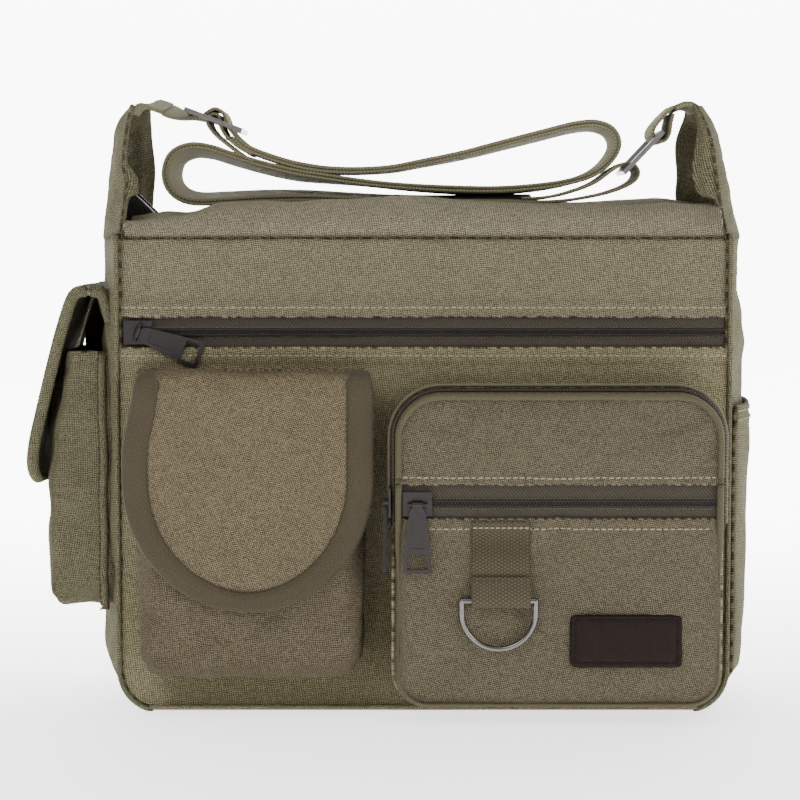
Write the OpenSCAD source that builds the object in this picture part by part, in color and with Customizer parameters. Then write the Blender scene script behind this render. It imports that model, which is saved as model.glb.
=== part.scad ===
// Canvas messenger bag: a wide zipped body with a front zip pocket, a flap pocket, a zipped
// organiser pocket, a pouch and a slip pocket on its ends, and a webbing shoulder strap that
// lies folded on the top. +X is the wearer's view from left to right, the front faces -Y, +Z is
// up, and the origin is the centre of the base on the surface the bag stands on. Millimetres.

/* [Body] */
// Width of the front and back panels between their side seams
panel_w = 300; // [296:1:304]
// Depth of the body from front panel to back panel
body_d = 114; // [112:1:116]
// Height of the seam between the panels and the top bands
seam_h = 235; // [234:1:236]
// Height of the top of the two end horns that carry the strap
horn_h = 300; // [299:1:301]
// How far the end gussets bulge past the side seams
gusset_bulge = 13; // [11:1:14]
// Radius of the lower corners of the panels
corner_r = 20; // [16:1:22]
// Thickness of a lined canvas wall
wall_t = 2.5; // [2:0.1:2.6]
// Thickness of a single layer of lining
lining_t = 1; // [0.8:0.1:1.1]

/* [Zips] */
// Height of the window of the front zip
zip_window = 16; // [15:0.5:17]
// Height of the coil of the front zip
front_zip_z = 188; // [187.5:0.5:188.5]
// Length of a zip puller from its pivot
puller_l = 33; // [30:1:34]
// Width of a zip puller at its free end
puller_w = 14; // [11:0.5:15]

/* [Flap pocket] */
// Width of the flap pocket
phone_w = 108; // [104:1:110]
// Depth of the flap pocket
phone_d = 28; // [26:1:28]
// Height of the front wall of the flap pocket above the floor
phone_top = 158; // [150:1:160]
// Half the width of the flap, which is also the radius of its round end
flap_r = 60; // [58:1:60]

/* [Organiser pocket] */
// Left side of the organiser pocket
organiser_x = -14; // [-14:0.5:-13]
// Width of the organiser pocket
organiser_w = 157; // [155:1:158]
// Height of its lower edge
organiser_z = 9; // [9:1:11]
// Height of its upper edge
organiser_top = 161; // [160:1:163]
// Depth of the organiser pocket
organiser_d = 40; // [40:0.5:41]
// Height of the coil of the zip on its face
face_zip_z = 108; // [107.5:0.5:108.5]

/* [Strap] */
// Width of the shoulder strap
strap_w = 38; // [34:1:40]
// Thickness of one layer of the strap
strap_t = 1.8; // [1.4:0.1:1.9]
// Half the thickness of the bars of the strap fittings
fitting_r = 1.2; // [1:0.1:1.3]

/* [Hidden] */

canvas = "#7d745f";
canvas_dark = "#6b6450";
webbing = "#5f5943";
zip_brown = "#3c352d";
gunmetal = "#77726d";
lining_cloth = "#3a3832";

smooth = 96;
half_w = panel_w / 2;
half_d = body_d / 2;
panel_inner_y = half_d - wall_t;
fit_gap = 0.1;
eps = 1;

// Bulged end gussets: an arc through both side seams and the bulge
gusset_r = (half_d * half_d + gusset_bulge * gusset_bulge) / (2 * gusset_bulge);
gusset_cx = half_w + gusset_bulge - gusset_r;

// Zip build: tape, coil and slider heights measured outward from the tape's outer face
tape_t = 0.7;
tape_w = 9.4;
coil_r = 0.7;
coil_gap = 1.2;
coil_height = 0.8;
slider_l = 14;
slider_w = 11.5;
slider_front = 1.9;
slider_back = -1;
slider_plate = 1.1;
bridge_height = 4.8;
bridge_r = 0.75;
eye_r = 1.6;
eye_hole_r = 1.1;
eye_w = 5;
bridge_half = 3.9;

// Depth of each layer behind the front panel
zip_y = -(panel_inner_y - fit_gap);
bag_layer_y = 52;
bag_layer_t = 1.2;
lining_y = 50.6;
lining_x = 144;
lining_top = seam_h - 3;
lining_floor = 4.8;

// Mouth of the bag: two crowned bands with the zip in the dip between them
mouth_hinge_y = 48.5;
mouth_hinge_z = seam_h + 2.4;
band_half = lining_x - lining_t - 0.5;
band_t = 2;
band_crest = [29, 251.5];
band_edge = [9, 243];
main_zip_z = 240.7;
main_zip_half = 128;
main_slider_x = 143;

// Front zip
front_slider_x = -140;
front_droop = 20;

// Rear zip pocket
rear_zip_z = 190;
rear_window_half = 105;
rear_slider_x = 92;

// Flap pocket
phone_x = -138;
phone_z = 24;
phone_r = 14;
phone_wall = 2;
flap_cx = -84.5;
flap_top_z = 169.5;
flap_round_z = 115;
flap_hinge_y = -64.5;
flap_fold_y = -89.5;
binding_w = 12;
binding_t = 0.7;

// Organiser pocket
organiser_x1 = organiser_x + organiser_w;
organiser_front = -(half_d + organiser_d);
organiser_wall = 2;
organiser_top_r = 22;
organiser_low_r = 16;
lid_z = 119;
u_zip_y = -88;
u_zip_half = 6;
u_zip_low_z = 96;
u_slider_z = 108;
face_window_low = 100;
face_window_top = 117;
face_slider_x = -3.2;
piping_r = 1.5;

// D-ring and patch
tab_x = [22.7, 50.3];
tab_z = [62, 99];
tab_layer = 1.4;
ring_centre_x = 35.5;
ring_bar_y = -100.6;
ring_wire_r = 1.35;
ring_arc_r = 17.6;
ring_bar_z = 62;
ring_arc_z = 56.5;
tab_hole_r = 1.75;
patch_x = [69.6, 123.3];
patch_z = [29.5, 55];
patch_r = 2.5;
patch_t = 1.5;

// Pouch and slip pocket on the end gussets
pouch_half_y = 40;
pouch_wall = 2.2;
slip_half_y = 50;
slip_gap = 0.3;
slip_t = 2;
slip_top = 151;

// Routes in the XZ plane of the strap's centre line, point by point along the webbing
strap_double = 2 * strap_t;
strap_run = [[-96, 285], [-88, 279], [-78, 275], [-64, 271], [-48, 268.5], [-32, 268], [-16, 269],
    [0, 272], [20, 276], [40, 281], [60, 286], [76, 290], [87, 291], [95, 288], [98, 281],
    [94, 273], [85, 266], [70, 261.5], [52, 259], [34, 258], [12, 258.5], [-10, 260], [-30, 262],
    [-48, 264], [-64, 266], [-80, 269.5], [-96, 274], [-107, 277.5], [-117, 278.5], [-125, 275],
    [-128, 268], [-127, 261], [-122, 256], [-114, 254], [-101, 254.5], [-80, 255.5], [-59, 255.5],
    [-38, 254.5], [-16, 253.5], [10, 253], [34, 253], [56, 253]];
strap_ring_loop = [[50, 252.1], [58, 252.1], [73, 253], [90, 256], [101, 259.5], [107, 263],
    [109, 267], [106.5, 271], [102, 271.5], [96, 268.5], [86, 261.5], [72, 256.5], [60, 254.2],
    [50, 253.9]];
strap_left = [[-130, 299], [-124, 296.5], [-118, 294.8], [-112, 294.5], [-108.5, 297.2],
    [-104.5, 299], [-100.5, 296.5], [-98, 290], [-94, 284.8], [-88, 280]];
strap_tail = [[-86, 276], [-93, 279.8], [-99.3, 285.5], [-102.2, 291.2], [-102.6, 294.8],
    [-105.2, 296.4], [-108, 294.7], [-108.4, 291.5], [-104.8, 286.3], [-98, 280.5], [-91, 275.5],
    [-85, 272.8]];
anchor_route = [[-148, 295.5], [-143, 300], [-137, 301.5], [-131, 300]];
ring_tab_route = [[126.3, 300], [121.5, 295.5], [117, 290], [116, 286], [118.5, 283],
    [122, 283], [124.3, 286.5], [125, 291.5], [126.2, 296.5]];
ring_anchor_route = [[128, 299], [134, 301], [141, 298.5], [145, 293.5]];
glide_left = [-118.6, 298.2];
glide_right = [-92, 288.2];
glide_half_w = 22.5;
ring_low = [102, 267.5];
ring_high = [120, 286.5];
ring_half_w = 21.5;

// A plate standing in the XZ plane, from the outline (x, z), between two depths
module plate_xz(y_front, y_back) {
    translate([0, y_back, 0])
        rotate([90, 0, 0])
            linear_extrude(y_back - y_front)
                children();
}

// A bar along X from a profile (y, z)
module bar_x(x0, x1) {
    translate([x0, 0, 0])
        rotate([90, 0, 90])
            linear_extrude(x1 - x0)
                children();
}

module box(x0, x1, y0, y1, z0, z1) {
    translate([x0, y0, z0])
        cube([x1 - x0, y1 - y0, z1 - z0]);
}

// Rectangle from (x0, z0) to (x1, z1) with round upper and lower corners
module rounded_outline(x0, x1, z0, z1, r_top, r_low) {
    translate([x0, z0 + r_low])
        square([x1 - x0, z1 - z0 - r_top - r_low]);
    corner_pair(x0, x1, z0 + r_low, z0, r_low);
    corner_pair(x0, x1, z1 - r_top, z1 - r_top, r_top);
}

// The strip between two round corners of radius r whose centres are at height z
module corner_pair(x0, x1, z, strip_z, r) {
    if (r > 0) {
        translate([x0 + r, strip_z])
            square([x1 - x0 - 2 * r, r]);
        for (x = [x0 + r, x1 - r])
            translate([x, z])
                circle(r, $fn = smooth);
    }
}

// A solid through equal rings of points, closed at both ends
module loft(rings) {
    n = len(rings[0]);
    last = len(rings) - 1;
    points = [for (ring = rings) each ring];
    sides = [for (i = [0:last - 1], j = [0:n - 1])
        [i * n + j, i * n + (j + 1) % n, (i + 1) * n + (j + 1) % n, (i + 1) * n + j]];
    quads = [for (q = sides) each [[q[0], q[1], q[2]], [q[0], q[2], q[3]]]];
    start_cap = [for (j = [1:n - 2]) [0, j + 1, j]];
    end_cap = [for (j = [1:n - 2]) [last * n, last * n + j, last * n + j + 1]];
    polyhedron(points, concat(quads, start_cap, end_cap), convexity = 6);
}

// Webbing of thickness t and width w swept along a route in the XZ plane
function route_dir(route, i) =
    let (a = route[max(i - 1, 0)], b = route[min(i + 1, len(route) - 1)])
    (b - a) / norm(b - a);
function webbing_ring(route, i, t, w) =
    let (d = route_dir(route, i), side = [-d[1], d[0]] * t / 2, a = route[i] + side, b = route[i] - side)
    [[a[0], -w / 2, a[1]], [a[0], w / 2, a[1]], [b[0], w / 2, b[1]], [b[0], -w / 2, b[1]]];
module webbing_sweep(route, t, w) {
    loft([for (i = [0:len(route) - 1]) webbing_ring(route, i, t, w)]);
}

// Part of a shell that follows the bulge of the right gusset
module gusset_sector(r_in, r_out, half_y, z0, z1) {
    intersection() {
        translate([gusset_cx, 0, z0])
            difference() {
                cylinder(r = r_out, h = z1 - z0, $fn = smooth);
                translate([0, 0, -eps])
                    cylinder(r = r_in, h = z1 - z0 + 2 * eps, $fn = smooth);
            }
        box(half_w - gusset_bulge, half_w + 2 * gusset_bulge, -half_y, half_y, z0 - eps, z1 + eps);
    }
}

// ---------- body ----------

module base_panel() {
    base_half = half_w + gusset_bulge / 2;
    color(canvas)
        difference() {
            plate_xz(-panel_inner_y, panel_inner_y)
                rounded_outline(-base_half, base_half, 0, 3 * corner_r, 0, corner_r);
            plate_xz(-half_d, half_d)
                rounded_outline(-base_half + wall_t, base_half - wall_t, wall_t, 3 * corner_r + eps,
                    0, corner_r - wall_t);
            box(-half_w - corner_r, half_w + corner_r, -half_d, half_d, corner_r, 4 * corner_r);
        }
}

module base_board() {
    color("#4a4238")
        box(-135, 135, -48, 48, wall_t, wall_t + 2);
}

module front_panel_upper() {
    window_top = front_zip_z + zip_window / 2;
    color(canvas) {
        box(-half_w - eps, half_w + eps, -half_d, -panel_inner_y, window_top, seam_h);
        box(-lining_x, lining_x, -panel_inner_y, -lining_y + lining_t, lining_top, seam_h);
    }
}

module front_panel_lower() {
    color(canvas)
        plate_xz(-half_d, -panel_inner_y)
            rounded_outline(-half_w - eps, half_w + eps, 0, front_zip_z - zip_window / 2, 0, corner_r);
}

module back_panel() {
    color(canvas) {
        plate_xz(panel_inner_y, half_d)
            difference() {
                rounded_outline(-half_w - eps, half_w + eps, 0, seam_h, 0, corner_r);
                translate([-rear_window_half, rear_zip_z - zip_window / 2])
                    square([2 * rear_window_half, zip_window]);
            }
        box(-lining_x, lining_x, lining_y - lining_t, panel_inner_y, lining_top, seam_h);
    }
}

module gusset_right() {
    color(canvas_dark)
        gusset_sector(gusset_r - wall_t, gusset_r, panel_inner_y, corner_r, seam_h);
}

module gusset_left() {
    mirror([1, 0, 0])
        gusset_right();
}

// The gusset above the seam narrows and leans in to the strap: a curved, channelled horn
function horn_rise(z) = (z - seam_h) / (horn_h - seam_h);
function horn_out(z) = half_w + gusset_bulge - 17 * pow(horn_rise(z), 1.7);
function horn_half(z) = panel_inner_y - (panel_inner_y - strap_w / 2) * pow(horn_rise(z), 0.8);
function horn_lip(z) = 11.5 - 2 * horn_rise(z);
function horn_point(z, s, inset) =
    [horn_out(z) - inset - horn_lip(z) * s * s, (horn_half(z) - inset * 0.4) * s, z];
function horn_ring(z) = concat(
    [for (i = [-5:5]) horn_point(z, i / 5, 0)],
    [for (i = [5:-1:-5]) horn_point(z, i / 5, wall_t)]);
module horn_right() {
    color(canvas_dark)
        loft([for (z = [seam_h:(horn_h - seam_h) / 8:horn_h]) horn_ring(z)]);
}

module horn_left() {
    mirror([1, 0, 0])
        horn_right();
}

module lining() {
    color(lining_cloth)
        difference() {
            box(-lining_x, lining_x, -lining_y, lining_y, lining_floor, lining_top);
            box(-lining_x + lining_t, lining_x - lining_t, -lining_y + lining_t, lining_y - lining_t,
                lining_floor + lining_t, lining_top + eps);
        }
}

module inner_pocket() {
    pocket_y = lining_y - lining_t;
    color(lining_cloth)
        difference() {
            box(-90, 90, pocket_y - 7, pocket_y, 60, 170);
            box(-89, 89, pocket_y - 6, pocket_y + eps, 61, 170 + eps);
        }
}

// ---------- mouth ----------

// Crowned band profile: a parabola from the hinge over the crest down to the zip's edge
function crown(y) =
    let (up = mouth_hinge_y - band_crest[0], down = band_crest[0] - band_edge[0],
        u = (y - band_crest[0]) / (y > band_crest[0] ? up : down),
        foot = y > band_crest[0] ? mouth_hinge_z : band_edge[1])
    band_crest[1] - (band_crest[1] - foot) * u * u;
module band_profile() {
    steps = 12;
    span = mouth_hinge_y - band_edge[0];
    ys = [for (i = [0:steps]) mouth_hinge_y - span * i / steps];
    polygon(concat([for (y = ys) [-y, crown(y)]],
        [for (i = [steps:-1:0]) [-ys[i], crown(ys[i]) - band_t]]));
}
module top_band_front() {
    color(canvas)
        bar_x(-band_half, band_half)
            band_profile();
}

module top_band_rear() {
    mirror([0, 1, 0])
        top_band_front();
}

// One tape with its coil, outer face up, its coil edge beside the local X axis
module zip_half_local(length) {
    translate([0, coil_gap / 2, -tape_t])
        cube([length, tape_w - coil_gap / 2, tape_t]);
    coil_local(length);
}
module coil_local(length) {
    translate([0, coil_gap / 2 + coil_r, coil_height])
        rotate([0, 90, 0])
            cylinder(r = coil_r, h = length, $fn = 24);
}
module main_zip_rear() {
    color(zip_brown)
        translate([-main_zip_half, 0, main_zip_z])
            zip_half_local(2 * main_zip_half);
}

module main_zip_front() {
    mirror([0, 1, 0])
        main_zip_rear();
}

// The closed stretches at both ends, outside the mouth; the left one climbs into the horn
module main_zip_ends() {
    gap = 0.6;
    half_y = 7;
    color(zip_brown) {
        for (side = [0, 1])
            mirror([0, side, 0])
                box(main_zip_half + gap, 152, coil_gap / 2, half_y, main_zip_z - tape_t, main_zip_z);
        bar_y_profile(half_y)
            polygon([[-main_zip_half - gap, main_zip_z - tape_t], [-main_zip_half - gap, main_zip_z + 0.7],
                [-150, main_zip_z + 15], [-152, main_zip_z + 13]]);
    }
}
module bar_y_profile(half_y) {
    plate_xz(-half_y, half_y)
        children();
}

// ---------- sliders and pullers ----------

// Slider body: two plates round the coils, joined by the divider between the tapes, and a
// bridge for the puller. Travel is along local X, outward is local +Z, and the bridge is
// turned the way the puller hangs.
module slider_local(bridge_turn) {
    for (z = [slider_front, slider_back - slider_plate])
        translate([-slider_l / 2, -slider_w / 2, z])
            cube([slider_l, slider_w, slider_plate]);
    translate([-slider_l / 2, -0.4, slider_back - fit_gap])
        cube([3, 0.8, slider_front - slider_back + 2 * fit_gap]);
    rotate([0, 0, bridge_turn]) {
        translate([0, bridge_half + 0.6, bridge_height])
            rotate([90, 0, 0])
                cylinder(r = bridge_r, h = 2 * bridge_half + 1.2, $fn = 24);
        for (side = [-1, 1])
            translate([-bridge_r, side * bridge_half - 0.6, slider_front + slider_plate - fit_gap])
                cube([2 * bridge_r, 1.2, bridge_height - slider_front - slider_plate + fit_gap]);
    }
}

// Puller lying along local +X from its eye: a tapered bar with a sunk panel and an open loop
module puller_local() {
    thick = 1.8;
    neck_w = 8;
    loop_l = 9;
    loop_wall = 2;
    sunk = 0.5;
    difference() {
        union() {
            translate([0, eye_w / 2, 0])
                rotate([90, 0, 0])
                    cylinder(r = eye_r, h = eye_w, $fn = 32);
            translate([0, 0, -thick / 2])
                linear_extrude(thick)
                    polygon([[1.2, -eye_w / 2], [4, -neck_w / 2], [puller_l - 1, -puller_w / 2],
                        [puller_l, -puller_w / 2 + 1], [puller_l, puller_w / 2 - 1],
                        [puller_l - 1, puller_w / 2], [4, neck_w / 2], [1.2, eye_w / 2]]);
        }
        translate([0, eye_w, 0])
            rotate([90, 0, 0])
                cylinder(r = eye_hole_r, h = 2 * eye_w, $fn = 24);
        translate([puller_l - loop_l, -puller_w / 2 + loop_wall, -thick])
            cube([loop_l - loop_wall, puller_w - 2 * loop_wall, 2 * thick]);
        translate([6, -puller_w / 5, thick / 2 - sunk])
            cube([puller_l - loop_l - 9, puller_w * 2 / 5, thick]);
    }
}

// Places a slider or puller: outward along -Y, +Y, or the left side of the organiser
module at_front(x, y, z) {
    translate([x, y, z])
        rotate([90, 0, 0])
            children();
}
module at_rear(x, z) {
    translate([x, -zip_y, z])
        rotate([-90, 0, 0])
            children();
}
module at_organiser_side(z) {
    translate([organiser_x, u_zip_y, z])
        rotate([0, -90, 0])
            children();
}

module main_zip_slider() {
    color(gunmetal)
        translate([main_slider_x, 0, main_zip_z])
            slider_local(0);
}

module main_zip_puller() {
    color(gunmetal)
        translate([main_slider_x, 0, main_zip_z + bridge_height])
            rotate([0, 0, 180])
                puller_local();
}

// ---------- front zip ----------

// Two tapes and two coils of a zip that runs along X on a standing panel
module standing_tapes(x0, x1, width) {
    for (side = [0, 1])
        mirror([0, side, 0])
            translate([x0, coil_gap / 2, -tape_t])
                cube([x1 - x0, width - coil_gap / 2, tape_t]);
}
module standing_coils(x0, x1) {
    for (side = [0, 1])
        mirror([0, side, 0])
            translate([x0, 0, 0])
                coil_local(x1 - x0);
}

module front_zip_tapes() {
    color(zip_brown)
        at_front(0, zip_y, front_zip_z)
            standing_tapes(-148, 148, 11);
}

module front_zip_coil() {
    color(zip_brown)
        at_front(0, zip_y, front_zip_z)
            standing_coils(-148, 148);
}

module front_zip_slider() {
    color(gunmetal)
        at_front(front_slider_x, zip_y, front_zip_z)
            slider_local(-front_droop);
}

module front_zip_puller() {
    color(gunmetal)
        at_front(front_slider_x, zip_y - bridge_height, front_zip_z)
            rotate([0, 0, -front_droop])
                puller_local();
}

module front_pocket_bag() {
    color(lining_cloth)
        box(-138, 138, -bag_layer_y, -bag_layer_y + bag_layer_t, 50, 214);
}

// ---------- rear zip ----------

module rear_zip_tapes() {
    color(zip_brown)
        at_rear(0, rear_zip_z)
            standing_tapes(-rear_window_half - 4, rear_window_half + 4, 10);
}

module rear_zip_coil() {
    color(zip_brown)
        at_rear(0, rear_zip_z)
            standing_coils(-rear_window_half, rear_window_half);
}

module rear_zip_slider() {
    color(gunmetal)
        at_rear(rear_slider_x, rear_zip_z)
            slider_local(90);
}

module rear_zip_puller() {
    color(gunmetal)
        translate([0, bridge_height, 0])
            at_rear(rear_slider_x, rear_zip_z)
                rotate([0, 0, 90])
                    puller_local();
}

module rear_pocket_bag() {
    color(lining_cloth)
        box(-115, 115, bag_layer_y - bag_layer_t, bag_layer_y, 60, 208);
}

// ---------- flap pocket ----------

module phone_pocket() {
    x1 = phone_x + phone_w;
    front = -(half_d + phone_d);
    color(canvas)
        difference() {
            plate_xz(front, -half_d)
                rounded_outline(phone_x, x1, phone_z, phone_top, 0, phone_r);
            plate_xz(front + phone_wall, -half_d + eps)
                rounded_outline(phone_x + phone_wall, x1 - phone_wall, phone_z + phone_wall,
                    phone_top + eps, 0, phone_r - phone_wall);
        }
}

module flap_box(y0, y1) {
    box(flap_cx - flap_r, flap_cx + flap_r, y0, y1, flap_top_z - wall_t, flap_top_z);
}
module phone_flap_seam() {
    color(canvas)
        flap_box(flap_hinge_y + 0.3, -half_d);
}

module phone_flap_top() {
    color(canvas)
        flap_box(flap_fold_y + 0.3, flap_hinge_y);
}

// The hanging part of the flap: straight sides and a round lower end, drawn in by an inset
module flap_outline(inset) {
    r = flap_r - inset;
    translate([flap_cx - r, flap_round_z])
        square([2 * r, flap_top_z - wall_t - 0.5 - flap_round_z]);
    translate([flap_cx, flap_round_z])
        intersection() {
            circle(r, $fn = smooth);
            translate([-r, -r])
                square([2 * r, r]);
        }
}
module phone_flap_front() {
    color(canvas)
        plate_xz(flap_fold_y - wall_t, flap_fold_y)
            flap_outline(0);
}

module phone_flap_binding() {
    color(webbing)
        plate_xz(flap_fold_y - wall_t - binding_t, flap_fold_y - wall_t)
            difference() {
                flap_outline(0);
                flap_outline(binding_w);
            }
}

module phone_touch_tape() {
    front = -(half_d + phone_d);
    color("#2d2a26")
        box(flap_cx - 25, flap_cx + 25, front - 1.5, front, 84, 104);
}

// ---------- organiser pocket ----------

module organiser_outline(inset) {
    rounded_outline(organiser_x + inset, organiser_x1 - inset, organiser_z + inset,
        organiser_top - inset, organiser_top_r - inset, organiser_low_r - inset);
}

// Side walls and floor, with the slot in which the zip runs and the lid's share left out
module organiser_body() {
    color(canvas)
        difference() {
            plate_xz(organiser_front, -half_d)
                organiser_outline(0);
            plate_xz(organiser_front - eps, -half_d + eps)
                organiser_outline(organiser_wall);
            box(organiser_x - eps, organiser_x1 + eps, u_zip_y - u_zip_half, u_zip_y + u_zip_half,
                u_zip_low_z, organiser_top + eps);
            box(organiser_x - eps, organiser_x1 + eps, organiser_front - eps, u_zip_y,
                lid_z - 0.4, organiser_top + eps);
        }
}

module organiser_face() {
    color(canvas)
        plate_xz(organiser_front, organiser_front + organiser_wall)
            intersection() {
                organiser_outline(organiser_wall);
                translate([organiser_x, organiser_z])
                    square([organiser_w, face_window_low - organiser_z]);
            }
}

module organiser_divider() {
    color(lining_cloth)
        plate_xz(-91, -90)
            intersection() {
                organiser_outline(organiser_wall + 0.5);
                translate([organiser_x, organiser_z])
                    square([organiser_w, lid_z - 4 - organiser_z]);
            }
}

// The upper face with its side rim, which folds forward once the zip round it is open
module organiser_lid() {
    color(canvas)
        difference() {
            plate_xz(organiser_front, u_zip_y - u_zip_half)
                organiser_outline(0);
            plate_xz(organiser_front + organiser_wall, -half_d)
                organiser_outline(organiser_wall);
            box(organiser_x - eps, organiser_x1 + eps, organiser_front - eps, -half_d,
                organiser_z - eps, lid_z);
        }
}

// A round bar that follows the organiser's outline at a distance outside it
module organiser_bar(y, r, out) {
    x0 = organiser_x - out;
    x1 = organiser_x1 + out;
    z0 = organiser_z - out;
    z1 = organiser_top + out;
    corners = [[x1, z1, organiser_top_r + out, 0], [x0, z1, organiser_top_r + out, 90],
        [x0, z0, organiser_low_r + out, 180], [x1, z0, organiser_low_r + out, 270]];
    for (c = corners)
        translate([c[0] - c[2] * (c[0] > 0 ? 1 : -1), y, c[1] - c[2] * (c[1] > lid_z ? 1 : -1)])
            rotate([90, 0, 0])
                rotate([0, 0, c[3]])
                    rotate_extrude(angle = 90, $fn = smooth)
                        translate([c[2], 0])
                            circle(r, $fn = 24);
    for (z = [z0, z1]) {
        bend = (z == z0 ? organiser_low_r : organiser_top_r) + out;
        translate([x0 + bend, y, z])
            rotate([0, 90, 0])
                cylinder(r = r, h = x1 - x0 - 2 * bend, $fn = 24);
    }
    for (x = [x0, x1])
        translate([x, y, z0 + organiser_low_r + out])
            cylinder(r = r, h = z1 - z0 - organiser_low_r - organiser_top_r - 2 * out, $fn = 24);
}
module above(z) {
    intersection() {
        children();
        box(organiser_x - 9, organiser_x1 + 9, organiser_front - 9, -half_d, z, organiser_top + 9);
    }
}
module between(z0, z1) {
    intersection() {
        children();
        box(organiser_x - 9, organiser_x1 + 9, organiser_front - 9, -half_d, z0, z1);
    }
}

module organiser_piping() {
    color(webbing)
        between(organiser_z - 9, lid_z - 2.4)
            organiser_bar(organiser_front - piping_r, piping_r, -1.6);
}

module organiser_lid_piping() {
    color(webbing)
        above(lid_z + 4)
            organiser_bar(organiser_front - piping_r, piping_r, -1.6);
}

// Thin tape ring round the organiser between two depths
module organiser_tape(y_front, y_back) {
    plate_xz(y_front, y_back)
        difference() {
            organiser_outline(0);
            organiser_outline(tape_t);
        }
}
module organiser_zip_rear() {
    coil_y = coil_gap / 2 + coil_r;
    color(zip_brown) {
        above(u_zip_low_z)
            union() {
                organiser_tape(u_zip_y + coil_gap / 2, u_zip_y + u_zip_half);
                organiser_bar(u_zip_y + coil_y, coil_r, coil_height);
            }
        between(u_zip_low_z, lid_z - 0.4)
            union() {
                organiser_tape(u_zip_y - u_zip_half, u_zip_y - coil_gap / 2);
                organiser_bar(u_zip_y - coil_y, coil_r, coil_height);
            }
    }
}

module organiser_lid_zip() {
    color(zip_brown)
        above(lid_z)
            union() {
                organiser_tape(u_zip_y - u_zip_half, u_zip_y - coil_gap / 2);
                organiser_bar(u_zip_y - coil_gap / 2 - coil_r, coil_r, coil_height);
            }
}

module organiser_zip_slider() {
    color(gunmetal)
        at_organiser_side(u_slider_z)
            slider_local(180);
}

module organiser_zip_puller() {
    color(gunmetal)
        translate([-bridge_height, 0, 0])
            at_organiser_side(u_slider_z)
                rotate([0, 0, 180])
                    puller_local();
}

// ---------- zip on the organiser's face ----------

face_zip_y = organiser_front + organiser_wall + fit_gap;

module face_zip_tapes() {
    color(zip_brown)
        at_front(0, face_zip_y, face_zip_z)
            standing_tapes(organiser_x + organiser_wall + 0.2, organiser_x1 - organiser_wall - 0.2, 10);
}

module face_zip_coil() {
    color(zip_brown)
        at_front(0, face_zip_y, face_zip_z)
            standing_coils(organiser_x + organiser_wall + 0.2, organiser_x1 - organiser_wall - 0.2);
}

module face_zip_slider() {
    color(gunmetal)
        at_front(face_slider_x, face_zip_y, face_zip_z)
            slider_local(-90);
}

module face_zip_puller() {
    color(gunmetal)
        at_front(face_slider_x, face_zip_y - bridge_height, face_zip_z)
            rotate([0, 0, -90])
                puller_local();
}

// ---------- D-ring, tab and patch ----------

module d_ring_tab() {
    back = organiser_front;
    color(webbing)
        difference() {
            union() {
                box(tab_x[0], tab_x[1], back - tab_layer, back, tab_z[0], tab_z[1]);
                translate([tab_x[0], ring_bar_y, ring_bar_z])
                    rotate([0, 90, 0])
                        cylinder(r = tab_hole_r + 1.6, h = tab_x[1] - tab_x[0], $fn = 48);
            }
            translate([tab_x[0] - eps, ring_bar_y, ring_bar_z])
                rotate([0, 90, 0])
                    cylinder(r = tab_hole_r, h = tab_x[1] - tab_x[0] + 2 * eps, $fn = 48);
            box(tab_x[0] - eps, tab_x[1] + eps, back, back + 9, 0, organiser_top);
        }
}

module d_ring() {
    color(gunmetal)
        translate([ring_centre_x, ring_bar_y, 0]) {
            translate([0, 0, ring_arc_z])
                rotate([90, 180, 0])
                    rotate_extrude(angle = 180, $fn = smooth)
                        translate([ring_arc_r, 0])
                            circle(ring_wire_r, $fn = 32);
            for (side = [-1, 1]) {
                translate([side * ring_arc_r, 0, ring_arc_z])
                    cylinder(r = ring_wire_r, h = ring_bar_z - ring_arc_z, $fn = 32);
                translate([side * ring_arc_r, 0, ring_bar_z])
                    sphere(ring_wire_r, $fn = 32);
            }
            translate([-ring_arc_r, 0, ring_bar_z])
                rotate([0, 90, 0])
                    cylinder(r = ring_wire_r, h = 2 * ring_arc_r, $fn = 32);
        }
}

module leather_patch() {
    color("#362c2a")
        plate_xz(organiser_front - patch_t, organiser_front)
            rounded_outline(patch_x[0], patch_x[1], patch_z[0], patch_z[1], patch_r, patch_r);
}

// ---------- end pockets ----------

module left_gusset_solid(extra) {
    translate([-gusset_cx, 0, -eps])
        cylinder(r = gusset_r + extra, h = seam_h, $fn = smooth);
}

module side_pouch() {
    outer = [[-150, 50], [-183, 50], [-187, 55], [-187, 110], [-178, 177], [-150, 177]];
    inner = [[-149, 52.2], [-182, 52.2], [-184.8, 56], [-184.8, 110], [-175.8, 177.5], [-149, 177.5]];
    color(canvas)
        difference() {
            plate_xz(-pouch_half_y, pouch_half_y)
                polygon(outer);
            plate_xz(-pouch_half_y + pouch_wall, pouch_half_y - pouch_wall)
                polygon(inner);
            left_gusset_solid(0);
        }
}

module pouch_flap() {
    outer = [[-164, 209], [-172, 209.5], [-177, 206], [-181.5, 193], [-186, 176], [-192, 151],
        [-198, 130], [-199, 118], [-197, 112]];
    inner = [[-193, 113], [-194, 129], [-188, 151.5], [-182, 177], [-177.8, 192], [-173.5, 202.5],
        [-171, 205], [-164, 205]];
    color(canvas)
        plate_xz(-pouch_half_y - 2, pouch_half_y + 2)
            polygon(concat(outer, inner));
}

module slip_pocket() {
    color(canvas)
        gusset_sector(gusset_r + slip_gap, gusset_r + slip_gap + slip_t, slip_half_y, corner_r, slip_top);
}

// ---------- strap and its fittings ----------

module strap_anchor() {
    color(webbing)
        webbing_sweep(anchor_route, strap_t, strap_w);
}

module ring_tab_anchor() {
    color(webbing)
        webbing_sweep(ring_anchor_route, strap_double, strap_w);
}

module shoulder_strap() {
    color(webbing) {
        webbing_sweep(strap_run, strap_double, strap_w);
        webbing_sweep(strap_ring_loop, strap_t, strap_w);
        webbing_sweep(strap_left, strap_t, strap_w);
        webbing_sweep(strap_tail, strap_t, strap_w);
    }
}

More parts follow.
